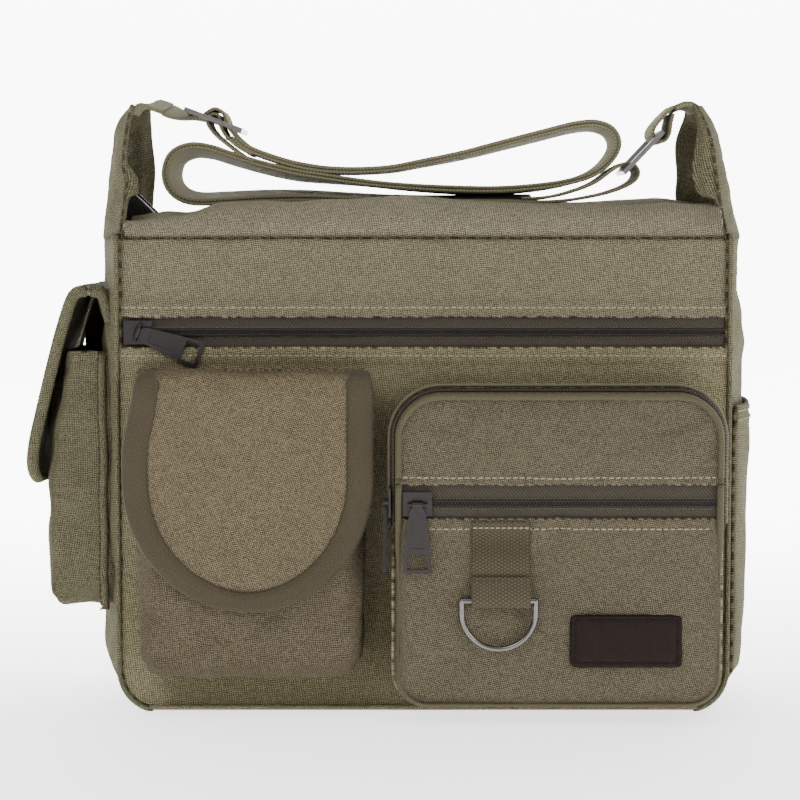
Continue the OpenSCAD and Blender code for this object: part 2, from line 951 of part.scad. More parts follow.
// A flat frame whose bars along Y lie at equal steps from one point of the XZ plane to another
module bar_frame(a, b, bars, half_y) {
    d = b - a;
    length = norm(d);
    step = length / (bars - 1);
    width = 2 * fitting_r;
    translate([a[0], 0, a[1]])
        rotate([0, -atan2(d[1], d[0]), 0])
            translate([0, 0, -fitting_r])
                linear_extrude(width)
                    difference() {
                        translate([-fitting_r, -half_y - fitting_r])
                            square([length + width, 2 * half_y + width]);
                        for (i = [0:bars - 2])
                            translate([i * step + fitting_r, -half_y + fitting_r])
                                square([step - width, 2 * half_y - width]);
                    }
}

module tri_glide() {
    color(gunmetal)
        bar_frame(glide_left, glide_right, 3, glide_half_w);
}

module end_ring() {
    color(gunmetal)
        bar_frame(ring_low, ring_high, 2, ring_half_w);
}

module ring_tab() {
    color(webbing)
        webbing_sweep(ring_tab_route, strap_t, strap_w);
}

base_panel();
base_board();
front_panel_upper();
front_panel_lower();
back_panel();
gusset_left();
gusset_right();
horn_left();
horn_right();
lining();
inner_pocket();
top_band_front();
top_band_rear();
main_zip_front();
main_zip_rear();
main_zip_ends();
main_zip_slider();
main_zip_puller();
front_zip_tapes();
front_zip_coil();
front_zip_slider();
front_zip_puller();
front_pocket_bag();
rear_zip_tapes();
rear_zip_coil();
rear_zip_slider();
rear_zip_puller();
rear_pocket_bag();
phone_pocket();
phone_flap_seam();
phone_flap_top();
phone_flap_front();
phone_flap_binding();
phone_touch_tape();
organiser_body();
organiser_face();
organiser_divider();
organiser_piping();
organiser_zip_rear();
organiser_zip_slider();
organiser_zip_puller();
organiser_lid();
organiser_lid_piping();
organiser_lid_zip();
face_zip_tapes();
face_zip_coil();
face_zip_slider();
face_zip_puller();
d_ring_tab();
d_ring();
leather_patch();
side_pouch();
pouch_flap();
slip_pocket();
strap_anchor();
ring_tab_anchor();
shoulder_strap();
tri_glide();
end_ring();
ring_tab();
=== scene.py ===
"""Looks of the canvas messenger bag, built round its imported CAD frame.

Lengths are in millimetres until a mesh is made.
"""
import math

import bpy
import numpy as np
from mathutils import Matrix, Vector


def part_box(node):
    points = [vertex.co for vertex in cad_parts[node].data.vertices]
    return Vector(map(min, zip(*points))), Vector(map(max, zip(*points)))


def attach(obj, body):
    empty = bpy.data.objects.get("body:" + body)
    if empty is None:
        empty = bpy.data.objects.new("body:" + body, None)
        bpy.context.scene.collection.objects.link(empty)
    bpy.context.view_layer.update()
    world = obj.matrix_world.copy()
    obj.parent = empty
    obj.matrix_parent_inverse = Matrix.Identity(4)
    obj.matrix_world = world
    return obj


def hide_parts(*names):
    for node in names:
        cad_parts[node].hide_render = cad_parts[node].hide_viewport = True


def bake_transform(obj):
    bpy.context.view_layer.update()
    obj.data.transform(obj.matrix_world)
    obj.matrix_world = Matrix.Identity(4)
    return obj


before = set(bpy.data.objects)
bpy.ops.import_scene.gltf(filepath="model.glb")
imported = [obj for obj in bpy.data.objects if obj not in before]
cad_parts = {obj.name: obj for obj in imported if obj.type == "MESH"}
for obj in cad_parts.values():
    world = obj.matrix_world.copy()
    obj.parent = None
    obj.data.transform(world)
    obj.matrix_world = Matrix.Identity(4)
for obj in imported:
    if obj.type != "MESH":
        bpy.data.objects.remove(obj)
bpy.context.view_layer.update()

MM = 0.001
LEFT = np.array([-1.0, 0, 0])
RIGHT = np.array([1.0, 0, 0])
FRONT = np.array([0, -1.0, 0])
BACK = np.array([0, 1.0, 0])
UP = np.array([0, 0, 1.0])
DOWN = np.array([0, 0, -1.0])


def mm_box(node):
    """Lowest and highest corner of a CAD node in millimetres."""
    low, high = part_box(node)
    return np.array(low) / MM, np.array(high) / MM


# ---------- materials ----------


class Graph:
    """A material and short ways to add its nodes."""

    def __init__(self, name):
        self.material = bpy.data.materials.new(name)
        self.material.use_nodes = True
        self.nodes = self.material.node_tree.nodes
        self.links = self.material.node_tree.links
        self.shader = self.nodes["Principled BSDF"]

    def add(self, kind, **settings):
        """A new node with its settings."""
        node = self.nodes.new(kind)
        for key, value in settings.items():
            setattr(node, key, value)
        return node

    def put(self, socket, value):
        """Gives a socket a value, or links it to a node's output."""
        if hasattr(value, "is_output"):
            self.links.new(value, socket)
        else:
            socket.default_value = value

    def math(self, operation, a, b=0.0, clamp=False):
        """Arithmetic on two values, each a number or an output."""
        node = self.add("ShaderNodeMath", operation=operation, use_clamp=clamp)
        self.put(node.inputs[0], a)
        self.put(node.inputs[1], b)
        return node.outputs[0]

    def mapped(self, vector, scale, turn):
        """Coordinates scaled and then turned."""
        node = self.add("ShaderNodeMapping")
        node.inputs["Scale"].default_value = scale
        node.inputs["Rotation"].default_value = turn
        self.links.new(vector, node.inputs[0])
        return node.outputs[0]

    def weave_mm(self, turn=0.0):
        """The piece's own unfolded coordinates in millimetres."""
        uv = self.add("ShaderNodeUVMap", uv_map="weave")
        return self.mapped(uv.outputs[0], (1000, 1000, 1), (0, 0, turn))

    def object_mm(self, scale=(1000.0, 1000.0, 1000.0), turn=(0, 0, 0)):
        """The object's coordinates in millimetres, or at another scale."""
        coordinates = self.add("ShaderNodeTexCoord")
        return self.mapped(coordinates.outputs["Object"], scale, turn)

    def noise(self, vector, scale, detail=2.0, roughness=0.5):
        """Cloudy noise from 0 to 1."""
        node = self.add("ShaderNodeTexNoise")
        self.links.new(vector, node.inputs["Vector"])
        node.inputs["Scale"].default_value = scale
        node.inputs["Detail"].default_value = detail
        node.inputs["Roughness"].default_value = roughness
        return node.outputs[0]

    def cell_tints(self, vector, scale):
        """A random grey for each cell."""
        node = self.add("ShaderNodeTexVoronoi")
        self.links.new(vector, node.inputs["Vector"])
        node.inputs["Scale"].default_value = scale
        split = self.add("ShaderNodeSeparateColor")
        self.links.new(node.outputs["Color"], split.inputs[0])
        return split.outputs[0]

    def pebbles(self, vector, scale):
        """Distance to the middle of each cell."""
        node = self.add("ShaderNodeTexVoronoi")
        self.links.new(vector, node.inputs["Vector"])
        node.inputs["Scale"].default_value = scale
        return node.outputs["Distance"]

    def waves(self, vector, scale, distortion=0.0, direction="X"):
        """Bands from 0 to 1."""
        node = self.add("ShaderNodeTexWave", bands_direction=direction)
        self.links.new(vector, node.inputs["Vector"])
        node.inputs["Scale"].default_value = scale
        node.inputs["Distortion"].default_value = distortion
        node.inputs["Detail"].default_value = 2
        node.inputs["Detail Scale"].default_value = 1.5
        return node.outputs["Fac"]

    def split(self, vector):
        """The three coordinates of a vector."""
        node = self.add("ShaderNodeSeparateXYZ")
        self.links.new(vector, node.inputs[0])
        return node.outputs[0], node.outputs[1], node.outputs[2]

    def sine(self, value, pitch):
        """A wave from -1 to 1 that repeats at the pitch."""
        return self.math("SINE", self.math("MULTIPLY", value, 2 * math.pi / pitch))

    def blend(self, first, first_weight, second, second_weight=1.0):
        """Weighted sum of two heights."""
        a = first if first_weight == 1.0 else self.math("MULTIPLY", first, first_weight)
        b = second if second_weight == 1.0 else self.math("MULTIPLY", second, second_weight)
        return self.math("ADD", a, b)

    def tones(self, value, tone, *stops):
        """Ramp through shades of one tone. Each stop is a position and a strength of the tone."""
        node = self.add("ShaderNodeValToRGB")
        self.put(node.inputs[0], value)
        ramp = node.color_ramp
        while len(ramp.elements) < len(stops):
            ramp.elements.new(0.5)
        for element, (position, strength) in zip(ramp.elements, stops):
            element.position = position
            element.color = (*scaled(tone, strength), 1)
        return node.outputs[0]

    def with_painted_shade(self, colour, amount, tint):
        """The colour, darkened by painted shade where the mesh's own shade attribute marks a seam, a fold or
        a crease.
        """
        shade = self.add("ShaderNodeAttribute", attribute_name="shade").outputs["Fac"]
        dark = self.mix(1.0, colour, tint, "MULTIPLY")
        return self.mix(self.math("MULTIPLY", shade, amount, True), colour, dark)

    def mix(self, amount, a, b, blend="MIX"):
        """Two colours mixed or blended."""
        node = self.add("ShaderNodeMix", data_type="RGBA", blend_type=blend)
        self.put(node.inputs[0], amount)
        self.put(node.inputs[6], a if hasattr(a, "is_output") else (*a, 1))
        self.put(node.inputs[7], b if hasattr(b, "is_output") else (*b, 1))
        return node.outputs[2]

    def bump(self, height, distance, strength):
        """Surface normals for a relief of a depth in metres."""
        node = self.add("ShaderNodeBump")
        node.inputs["Strength"].default_value = strength
        node.inputs["Distance"].default_value = distance
        self.links.new(height, node.inputs["Height"])
        return node.outputs[0]

    def finish(self, colour, roughness, normal=None, **sockets):
        """Fills in the surface's sockets and returns the material."""
        self.put(self.shader.inputs["Base Color"], colour if hasattr(colour, "is_output") else (*colour, 1))
        self.put(self.shader.inputs["Roughness"], roughness)
        if normal is not None:
            self.links.new(normal, self.shader.inputs["Normal"])
        for key, value in sockets.items():
            self.shader.inputs[key.replace("_", " ")].default_value = value
        return self.material


def linear(r, g, b):
    """Linear colour from 0-255 screen values."""
    return tuple(((c / 255 + 0.055) / 1.055) ** 2.4 if c > 10 else c / 3294.6 for c in (r, g, b))


def scaled(colour, factor):
    """A colour made lighter or darker."""
    return tuple(c * factor for c in colour)


LATTICE_PITCH = 1.75


def canvas_material(name, tone, turn=0.12, grain=1.0):
    """Washed canvas: a fine lattice of light yarn crossings on a darker ground, uneven from yarn to yarn, a
    little faded in places, and darkened by painted shade in its seams and folds."""
    g = Graph(name)
    along = g.weave_mm(turn)
    u, v, _ = g.split(along)
    drift = g.math("MULTIPLY", g.noise(along, 0.12, 2, 0.6), 2.2)
    rising = g.sine(g.math("ADD", g.math("ADD", u, v), drift), LATTICE_PITCH)
    falling = g.sine(g.math("SUBTRACT", g.math("SUBTRACT", u, v), drift), LATTICE_PITCH)
    lattice = g.math("MULTIPLY", rising, falling)
    fine = g.noise(along, 1.5, 2, 0.75)
    knots = g.blend(fine, 1.0, lattice, 0.32)
    height = g.blend(knots, 1.0, g.cell_tints(along, 0.95), 0.14)
    wash = g.noise(along, 0.03, 2, 0.5)
    yarn_colour = g.tones(height, tone, (0.35 - 0.03 * grain, 0.30), (0.58, 1.0), (0.82, 2.6))
    faded = g.mix(1.0, yarn_colour, (0.86, 0.82, 0.74), "MULTIPLY")
    mottled = g.mix(g.math("MULTIPLY", wash, 0.5), yarn_colour, faded)
    # Painted shade: darker where the mesh's shade attribute marks seams, folds and creases.
    colour = g.with_painted_shade(mottled, 0.7, (0.22, 0.20, 0.16))
    return g.finish(colour, 0.95, g.bump(height, 0.0004, 0.6), Specular_IOR_Level=0.05)


def webbing_material(name, tone, rib=2.3, pick=1.7):
    """Cotton webbing: humps of yarn in staggered ribs along the tape."""
    g = Graph(name)
    along = g.weave_mm()
    u, v, _ = g.split(along)
    ribs = g.sine(v, 2 * rib)
    humps = g.math("MULTIPLY", ribs, g.sine(u, pick))
    relief = g.blend(humps, 0.32, g.math("ABSOLUTE", ribs), 0.25)
    height = g.math("ADD", relief, g.noise(along, 1.4, 3, 0.7))
    yarn_colour = g.tones(g.math("MULTIPLY", height, 0.62), tone, (0.12, 0.36), (0.42, 1.0), (0.75, 1.75))
    # Painted shade: darker where the mesh's shade attribute marks seams, folds and creases.
    colour = g.with_painted_shade(yarn_colour, 0.7, (0.25, 0.23, 0.19))
    return g.finish(colour, 0.95, g.bump(height, 0.0004, 0.7), Sheen_Weight=0.04, Specular_IOR_Level=0.05)


def twill_tape_material(name, tone, pitch=1.5, herringbone=False, contrast=1.0, rough=0.9):
    """Woven tape: fine diagonal lines, which meet in the middle of the tape where it is herringbone."""
    g = Graph(name)
    along = g.weave_mm()
    u, v, _ = g.split(along)
    lean = g.math("ABSOLUTE", v) if herringbone else v
    lines = g.sine(g.blend(u, 0.6, lean), pitch)
    height = g.blend(lines, 0.22 * contrast, g.noise(along, 1.3, 3, 0.7))
    yarn_colour = g.tones(height, tone, (0.2, 0.45), (0.5, 1.0), (0.85, 1.7))
    # Painted shade: darker where the mesh's shade attribute marks seams, folds and creases.
    colour = g.with_painted_shade(yarn_colour, 0.65, (0.3, 0.27, 0.22))
    return g.finish(colour, rough, g.bump(height, 0.0004, 0.8), Sheen_Weight=0.04, Specular_IOR_Level=0.15)


def cad_tape_material(name, tone):
    """The same twill tape for a CAD piece, which has no unfolded coordinates."""
    g = Graph(name)
    lines = g.waves(g.object_mm(turn=(0, 0.7, 0.0)), 0.24, 0.6)
    height = g.blend(lines, 0.5, g.noise(g.object_mm(), 1.5, 2, 0.7), 0.6)
    colour = g.tones(height, tone, (0.2, 0.5), (0.55, 1.0), (0.95, 1.8))
    return g.finish(colour, 0.8, g.bump(height, 0.0003, 0.7), Specular_IOR_Level=0.3)


def metal_material(name, tone, roughness, metallic=1.0, gleam=0.5):
    """Plated metal: fine handling marks in the gloss and a faint cast texture."""
    g = Graph(name)
    marks = g.noise(g.object_mm(), 0.35, 4, 0.65)
    rub = g.noise(g.object_mm((300, 1500, 1500)), 1.0, 3, 0.6)
    gloss = g.math("ADD", g.math("MULTIPLY", marks, 0.22), roughness - 0.1)
    colour = g.mix(g.math("MULTIPLY", rub, 0.7), scaled(tone, 0.75), scaled(tone, 1.35))
    normal = g.bump(marks, 0.00008, 0.5)
    return g.finish(colour, gloss, normal, Metallic=metallic, Specular_IOR_Level=gleam)


def leather_material(name, tone):
    """Leather: a pebbled grain with shallow folds."""
    g = Graph(name)
    folds = g.noise(g.object_mm((900, 900, 350)), 0.35, 4, 0.6)
    height = g.blend(g.pebbles(g.object_mm(), 1.1), 1.0, folds, 0.8)
    colour = g.tones(height, tone, (0.25, 0.6), (0.8, 1.0), (1.0, 1.3))
    return g.finish(colour, 0.6, g.bump(height, 0.00025, 0.45), Specular_IOR_Level=0.1)


def plain_cloth_material(name, tone, pitch=0.6):
    """Plain-weave lining: a fine square net of yarns with soft creases in the tone."""
    g = Graph(name)
    across, upward = (g.waves(g.object_mm(), 0.3 / pitch, 0.5, axis) for axis in "XZ")
    net = g.math("MULTIPLY", across, upward)
    height = g.blend(net, 0.5, g.noise(g.object_mm(), 0.06, 3, 0.6), 0.7)
    colour = g.tones(height, tone, (0.15, 0.6), (0.55, 1.0), (0.95, 1.4))
    normal = g.bump(net, 0.0002, 0.6)
    return g.finish(colour, 0.75, normal, Sheen_Weight=0.02, Specular_IOR_Level=0.15)


# One canvas copied in lighter and darker tones for the parts of the bag: painted light and shade, each tone
# set for how light falls on its part.
CANVAS = canvas_material("canvas", linear(87, 82, 67))
CANVAS_LOW = canvas_material("canvas lower", linear(94, 89, 70))
CANVAS_POCKET = canvas_material("canvas pocket", linear(70, 64, 52))
CANVAS_SIDE = canvas_material("canvas side", linear(78, 75, 59))
CANVAS_BAND = canvas_material("canvas band", linear(95, 90, 76))
CANVAS_FLAP = canvas_material("canvas flap", linear(79, 72, 57), turn=0.3)
CANVAS_FACE = canvas_material("canvas face", linear(71, 66, 54), turn=0.2, grain=1.5)
BINDING = twill_tape_material("herringbone binding", linear(60, 54, 41), 1.15, True, contrast=0.45)
PIPING = twill_tape_material("piping", linear(72, 67, 50), 1.2, contrast=0.4)
EDGE_BINDING = twill_tape_material("zip edge binding", linear(92, 87, 67), 1.2, contrast=0.5)
STRAP = webbing_material("strap webbing", linear(99, 94, 73))
TAB = webbing_material("tab webbing", linear(69, 63, 50), 1.5, 1.7)
TAPE = cad_tape_material("zip tape", linear(51, 45, 37))
ORGANISER_TAPE = cad_tape_material("organiser zip tape", linear(60, 53, 42))
END_TAPE = twill_tape_material("zip end tape", linear(20, 18, 17), 1.5, contrast=0.5, rough=0.3)
TEETH = metal_material("zip teeth", linear(33, 28, 24), 0.5, 0.0, 0.2)
GUNMETAL = metal_material("gunmetal", linear(55, 52, 52), 0.4)
NICKEL = metal_material("nickel", linear(105, 102, 100), 0.24)
FITTING = metal_material("strap fitting", linear(116, 112, 110), 0.33)
LEATHER = leather_material("dark leather", linear(24, 15, 13))
LINING = plain_cloth_material("lining", linear(48, 47, 40))
BOARD = plain_cloth_material("board", linear(52, 48, 42), 2.5)
HOOKS = plain_cloth_material("hook tape", linear(38, 36, 33), 1.6)
THREADS = {
    "light": twill_tape_material("thread", linear(134, 128, 104), 0.7, contrast=0.6),
    "tape": twill_tape_material("tape thread", linear(98, 92, 76), 0.7, contrast=0.6),
    "patch": twill_tape_material("patch thread", linear(14, 10, 9), 0.7, contrast=0.6),
    "dark": twill_tape_material("dark thread", linear(60, 54, 42), 0.7, contrast=0.6)}


# ---------- mesh building ----------


def ripple(x, y, seed, length, count=8):
    """Smooth random height of about unit size, from waves of about the given length."""
    rng = np.random.RandomState(seed)
    total = np.zeros(np.broadcast(x, y).shape)
    for _ in range(count):
        angle, phase = rng.uniform(0, 2 * math.pi, 2)
        wave = length * rng.uniform(0.7, 1.6)
        total = total + np.sin(2 * math.pi * (x * math.cos(angle) + y * math.sin(angle)) / wave + phase)
    return total / math.sqrt(count)


def smooth_step(low, high, value):
    """Eases from 0 to 1 as a value passes from low to high."""
    t = np.clip((value - low) / (high - low), 0, 1)
    return t * t * (3 - 2 * t)


def bell(value, centre, width):
    """1 at the centre, and falling off to both sides of it."""
    return np.exp(-(((value - centre) / width) ** 2))


def grid(down, across):
    """Pairs every value of one list with every value of another."""
    return np.meshgrid(down, across, indexing="ij")


def pair(a, b):
    """Two coordinates as the last axis of one array."""
    return np.stack([a, b], axis=-1)


def unit(vectors):
    """Vectors at length one."""
    return vectors / np.maximum(np.linalg.norm(vectors, axis=-1, keepdims=True), 1e-9)


def points(x, y, z):
    """Coordinates joined into points."""
    return np.stack(np.broadcast_arrays(x, y, z), axis=-1).astype(float)


def inside_out(vertices, faces):
    """Whether a closed mesh has its faces turned inward, from the sign of its volume."""
    volume = 0.0
    for sides in {len(face) for face in faces}:
        corners = vertices[np.array([face for face in faces if len(face) == sides])]
        for k in range(1, sides - 1):
            volume += (corners[:, 0] * np.cross(corners[:, k], corners[:, k + 1])).sum()
    return volume < 0


def mesh_object(name, vertices, faces, corner_uv, material, shade=None):
    """A smooth mesh with its weave coordinates and seam shade, turned so that its faces look outward."""
    vertices = np.asarray(vertices)
    if inside_out(vertices - vertices.mean(axis=0), faces):
        starts = np.cumsum([0] + [len(face) for face in faces])
        corner_uv = np.concatenate([corner_uv[a:b][::-1] for a, b in zip(starts, starts[1:])])
        faces = [list(face)[::-1] for face in faces]
    mesh = bpy.data.meshes.new(name)
    mesh.from_pydata((vertices * MM).tolist(), [], faces)
    mesh.polygons.foreach_set("use_smooth", [True] * len(mesh.polygons))
    layer = mesh.uv_layers.new(name="weave")
    layer.data.foreach_set("uv", (corner_uv * MM).ravel())
    if shade is not None:
        attribute = mesh.attributes.new("shade", "FLOAT", "POINT")
        attribute.data.foreach_set("value", np.asarray(shade, np.float32).ravel())
    mesh.materials.append(material)
    mesh.update()
    obj = bpy.data.objects.new(name, mesh)
    bpy.context.scene.collection.objects.link(obj)
    return obj


def distances(line):
    """Distance along a line of points to each of them."""
    return np.concatenate([[0], np.cumsum(np.linalg.norm(np.diff(line, axis=0), axis=1))])


def run_length(surface, axis):
    """Distance along one direction of a grid of points, the same for every line of it."""
    steps = np.linalg.norm(np.diff(surface, axis=axis), axis=-1).mean(axis=1 - axis)
    return np.concatenate([[0], np.cumsum(steps)])


def surface_normals(surface, outward):
    """Unit normals of a grid of points on its outward side, and whether the grid's own order looks inward."""
    normals = unit(np.cross(np.gradient(surface, axis=0), np.gradient(surface, axis=1)))
    flipped = (normals * outward).sum() < 0
    return (-normals if flipped else normals), flipped


def quads(rows, columns, start, flipped):
    """Faces of a grid of points whose numbers begin at start."""
    i, j = grid(np.arange(rows - 1), np.arange(columns - 1))
    a = start + i * columns + j
    faces = np.stack([a, a + columns, a + columns + 1, a + 1], axis=-1).reshape(-1, 4)
    return faces[:, ::-1] if flipped else faces


RIM_ROUNDNESS = 0.9


def border_walk(rows, columns):
    """Row and column numbers of a grid's border points, once round."""
    down, right = np.arange(rows), np.arange(columns)
    row = np.concatenate([down, np.full(columns - 1, rows - 1), down[-2::-1], np.zeros(columns - 2, int)])
    column = np.concatenate([np.zeros(rows, int), right[1:], np.full(rows - 1, columns - 1), right[-2:0:-1]])
    return row, column


def shell(name, surface, thickness, material, outward, uv=None, shade=None):
    """A thick sheet behind a grid of points, with round rims. outward points to the sheet's outer side."""
    rows, columns = surface.shape[:2]
    normals, flipped = surface_normals(surface, outward)
    inner = surface - normals * thickness
    if uv is None:
        uv = pair(*grid(run_length(surface, 0), run_length(surface, 1)))
    i, j = border_walk(rows, columns)
    away = unit(surface[i, j] - surface[np.clip(i, 1, rows - 2), np.clip(j, 1, columns - 2)])
    middle = (surface + inner)[i, j] / 2 + away * thickness / 2 * RIM_ROUNDNESS
    count = rows * columns
    vertices = np.concatenate([surface.reshape(-1, 3), inner.reshape(-1, 3), middle])
    vertex_uv = np.concatenate([uv.reshape(-1, 2), uv.reshape(-1, 2), uv[i, j]])
    loop = i * columns + j
    after = np.roll(loop, -1)
    rim = 2 * count + np.arange(len(loop))
    rim_after = np.roll(rim, -1)
    outer_rim = np.stack([loop, rim, rim_after, after], axis=-1)
    inner_rim = np.stack([rim, count + loop, count + after, rim_after], axis=-1)
    if flipped:
        outer_rim, inner_rim = outer_rim[:, ::-1], inner_rim[:, ::-1]
    sides = [quads(rows, columns, 0, flipped), quads(rows, columns, count, not flipped)]
    faces = np.concatenate([*sides, outer_rim, inner_rim])
    tone = None
    if shade is not None:
        shade = np.broadcast_to(shade, (rows, columns))
        tone = np.concatenate([shade.ravel(), shade.ravel(), shade[i, j]])
    return mesh_object(name, vertices, faces.tolist(), vertex_uv[faces.ravel()], material, tone)


def path_frames(path, side_hint):
    """Sideways and upward vector at each point of a path, the first kept near the hint."""
    direction = unit(np.gradient(path, axis=0))
    hint = np.broadcast_to(side_hint, path.shape)
    side = unit(hint - direction * (hint * direction).sum(axis=1, keepdims=True))
    return side, np.cross(direction, side)


def sweep(name, path, section, material, side_hint, roll=0.0, scale=1.0, shade=None):
    """A closed section (across, up) carried along a path, capped at both ends."""
    side, up = path_frames(path, side_hint)
    angle = np.broadcast_to(roll, len(path))[:, None]
    turned_side = side * np.cos(angle) + up * np.sin(angle)
    turned_up = up * np.cos(angle) - side * np.sin(angle)
    size = np.broadcast_to(scale, len(path))[:, None, None]
    ring = section[None, :, :1] * turned_side[:, None] + section[None, :, 1:] * turned_up[:, None]
    rings = path[:, None] + size * ring
    n, m = rings.shape[:2]
    u = distances(path)
    v = distances(np.concatenate([section, section[:1]]))
    i, j = (numbers.ravel() for numbers in grid(np.arange(n - 1), np.arange(m)))
    after = (j + 1) % m
    corners = [i * m + j, i * m + after, (i + 1) * m + after, (i + 1) * m + j]
    faces = np.stack(corners, axis=-1).tolist()
    corner_uv = [pair(u[i], v[j]), pair(u[i], v[j + 1]), pair(u[i + 1], v[j + 1]), pair(u[i + 1], v[j])]
    caps = [list(range(m))[::-1], list(range((n - 1) * m, n * m))]
    all_uv = np.concatenate([np.stack(corner_uv, axis=1).reshape(-1, 2), section[::-1], section])
    tone = None if shade is None else np.repeat(np.broadcast_to(shade, n), m)
    return mesh_object(name, rings.reshape(-1, 3), faces + caps, all_uv, material, tone)


def oval_section(half_w, half_t, sides):
    """An oval, for sweep."""
    angles = np.arange(sides) * 2 * math.pi / sides
    return pair(half_w * np.cos(angles), half_t * np.sin(angles))


def flat_section(width, thickness, sides=11):
    """Webbing's section: flat faces with soft edges, and points of its own along the middle of each face."""
    half_w, half_t = width / 2, thickness / 2
    across = np.linspace(-half_w + half_t, half_w - half_t, sides)
    top = pair(across[::-1], np.full(sides, half_t))
    bottom = pair(across, np.full(sides, -half_t))
    shoulder = 0.2 * half_t - half_w
    left = np.array([[shoulder, 0.55 * half_t], [-half_w, 0], [shoulder, -0.55 * half_t]])
    return np.concatenate([top, left, bottom, -left])


def curve_through(knots, step=2.0):
    """A smooth line through the knots, with points at even steps."""
    knots = np.asarray(knots, float)
    padded = np.concatenate([[2 * knots[0] - knots[1]], knots, [2 * knots[-1] - knots[-2]]])
    t = np.linspace(0, 1, 12, endpoint=False)[:, None]
    pieces = []
    for a, b, c, d in zip(padded, padded[1:], padded[2:], padded[3:]):
        square, cube = 2 * a - 5 * b + 4 * c - d, 3 * b - a - 3 * c + d
        pieces.append(0.5 * (2 * b + (c - a) * t + square * t ** 2 + cube * t ** 3))
    return even_points(np.concatenate(pieces + [knots[-1:]]), step)


def even_points(line, step):
    """Points at even steps along a line of points."""
    distance = distances(line)
    wanted = np.linspace(0, distance[-1], max(2, int(round(distance[-1] / step)) + 1))
    return np.stack([np.interp(wanted, distance, line[:, k]) for k in range(3)], axis=-1)


def in_xz(route, y=0.0):
    """A route of (x, z) knots as points at one depth."""
    route = np.asarray(route, float)
    return points(route[:, 0], y, route[:, 1])


def capsule_set(name, centres, long_axis, up_axis, sizes, material):
    """Many small rounded bars in one mesh, such as stitches or zip teeth."""
    sides = 6
    angles = np.arange(sides) * 2 * math.pi / sides
    stations = [(-0.5, 0.45), (-0.38, 0.95), (0.0, 1.05), (0.38, 0.95), (0.5, 0.45)]
    template = np.array([[x, r / 2 * math.cos(a), r / 2 * math.sin(a)] for x, r in stations for a in angles])
    third = np.cross(long_axis, up_axis)
    local = template[None] * np.asarray(sizes)[None, None]
    axes = (long_axis, third, up_axis)
    vertices = centres[:, None] + sum(local[..., k:k + 1] * axis[:, None] for k, axis in enumerate(axes))
    rings = len(stations)
    faces = []
    for r in range(rings - 1):
        for s in range(sides):
            t = (s + 1) % sides
            faces.append([r * sides + s, r * sides + t, (r + 1) * sides + t, (r + 1) * sides + s])
    offsets = (np.arange(len(centres)) * rings * sides)[:, None]
    body = (np.array(faces)[None] + offsets[..., None]).reshape(-1, 4)
    first = np.arange(sides)[::-1][None] + offsets
    last = np.arange(sides)[None] + (rings - 1) * sides + offsets
    vertex_uv = np.tile(template[:, :2] * np.asarray(sizes)[:2], (len(centres), 1))
    corner_uv = np.concatenate([vertex_uv[group.ravel()] for group in (body, first, last)])
    all_faces = body.tolist() + first.tolist() + last.tolist()
    return mesh_object(name, vertices.reshape(-1, 3), all_faces, corner_uv, material)


stitch_rows = {}


def sew(body, line, outward, pitch=3.3, length=2.4, lift=0.15, thread="light"):
    """Notes a row of stitches along a line, to be made with its body's other rows."""
    line = even_points(np.asarray(line, float), pitch)
    direction = unit(np.gradient(line, axis=0))
    out = np.broadcast_to(outward, line.shape)
    out = unit(out - direction * (out * direction).sum(axis=1, keepdims=True))
    rows = stitch_rows.setdefault((body, thread, length), [])
    rows.append((line + out * lift, direction, out))


def make_stitches():
    """One mesh for all stitches of one body, thread and length."""
    for (body, thread, length), rows in stitch_rows.items():
        centres, directions, outs = (np.concatenate([row[k] for row in rows]) for k in range(3))
        name = f"stitches_{body}_{thread}_{int(length * 10)}"
        stitches = capsule_set(name, centres, directions, outs, (length, 0.75, 0.6), THREADS[thread])
        piece(stitches, body, "webbing")


TOOTH_PITCH = 1.5


def zip_teeth(name, body, path, across, reach=2.3, height=0.85):
    """Two rows of coil teeth that mesh along a path."""
    line = even_points(path, TOOTH_PITCH / 2)
    direction = unit(np.gradient(line, axis=0))
    side = unit(np.broadcast_to(across, line.shape))
    up = np.cross(direction, side)
    sign = np.where(np.arange(len(line)) % 2 == 0, 1.0, -1.0)[:, None]
    centres = line + side * sign * (reach / 2 - 0.25)
    size = (reach + 0.5, 1.05, 2 * height)
    piece(capsule_set(name, centres, side * sign, up, size, TEETH), body, "zip_coil")


ENDS = ((-1, "front"), (1, "rear"))


def piece(obj, body, slot, *replaced):
    """Rides on a body and stands for CAD nodes, which it hides. Its slot is not used."""
    if replaced:
        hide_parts(*replaced)
    if body:
        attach(obj, body)
    return obj


def join(first, *others):
    """Makes one object of several."""
    with bpy.context.temp_override(active_object=first, selected_editable_objects=[first, *others]):
        bpy.ops.object.join()
    return first


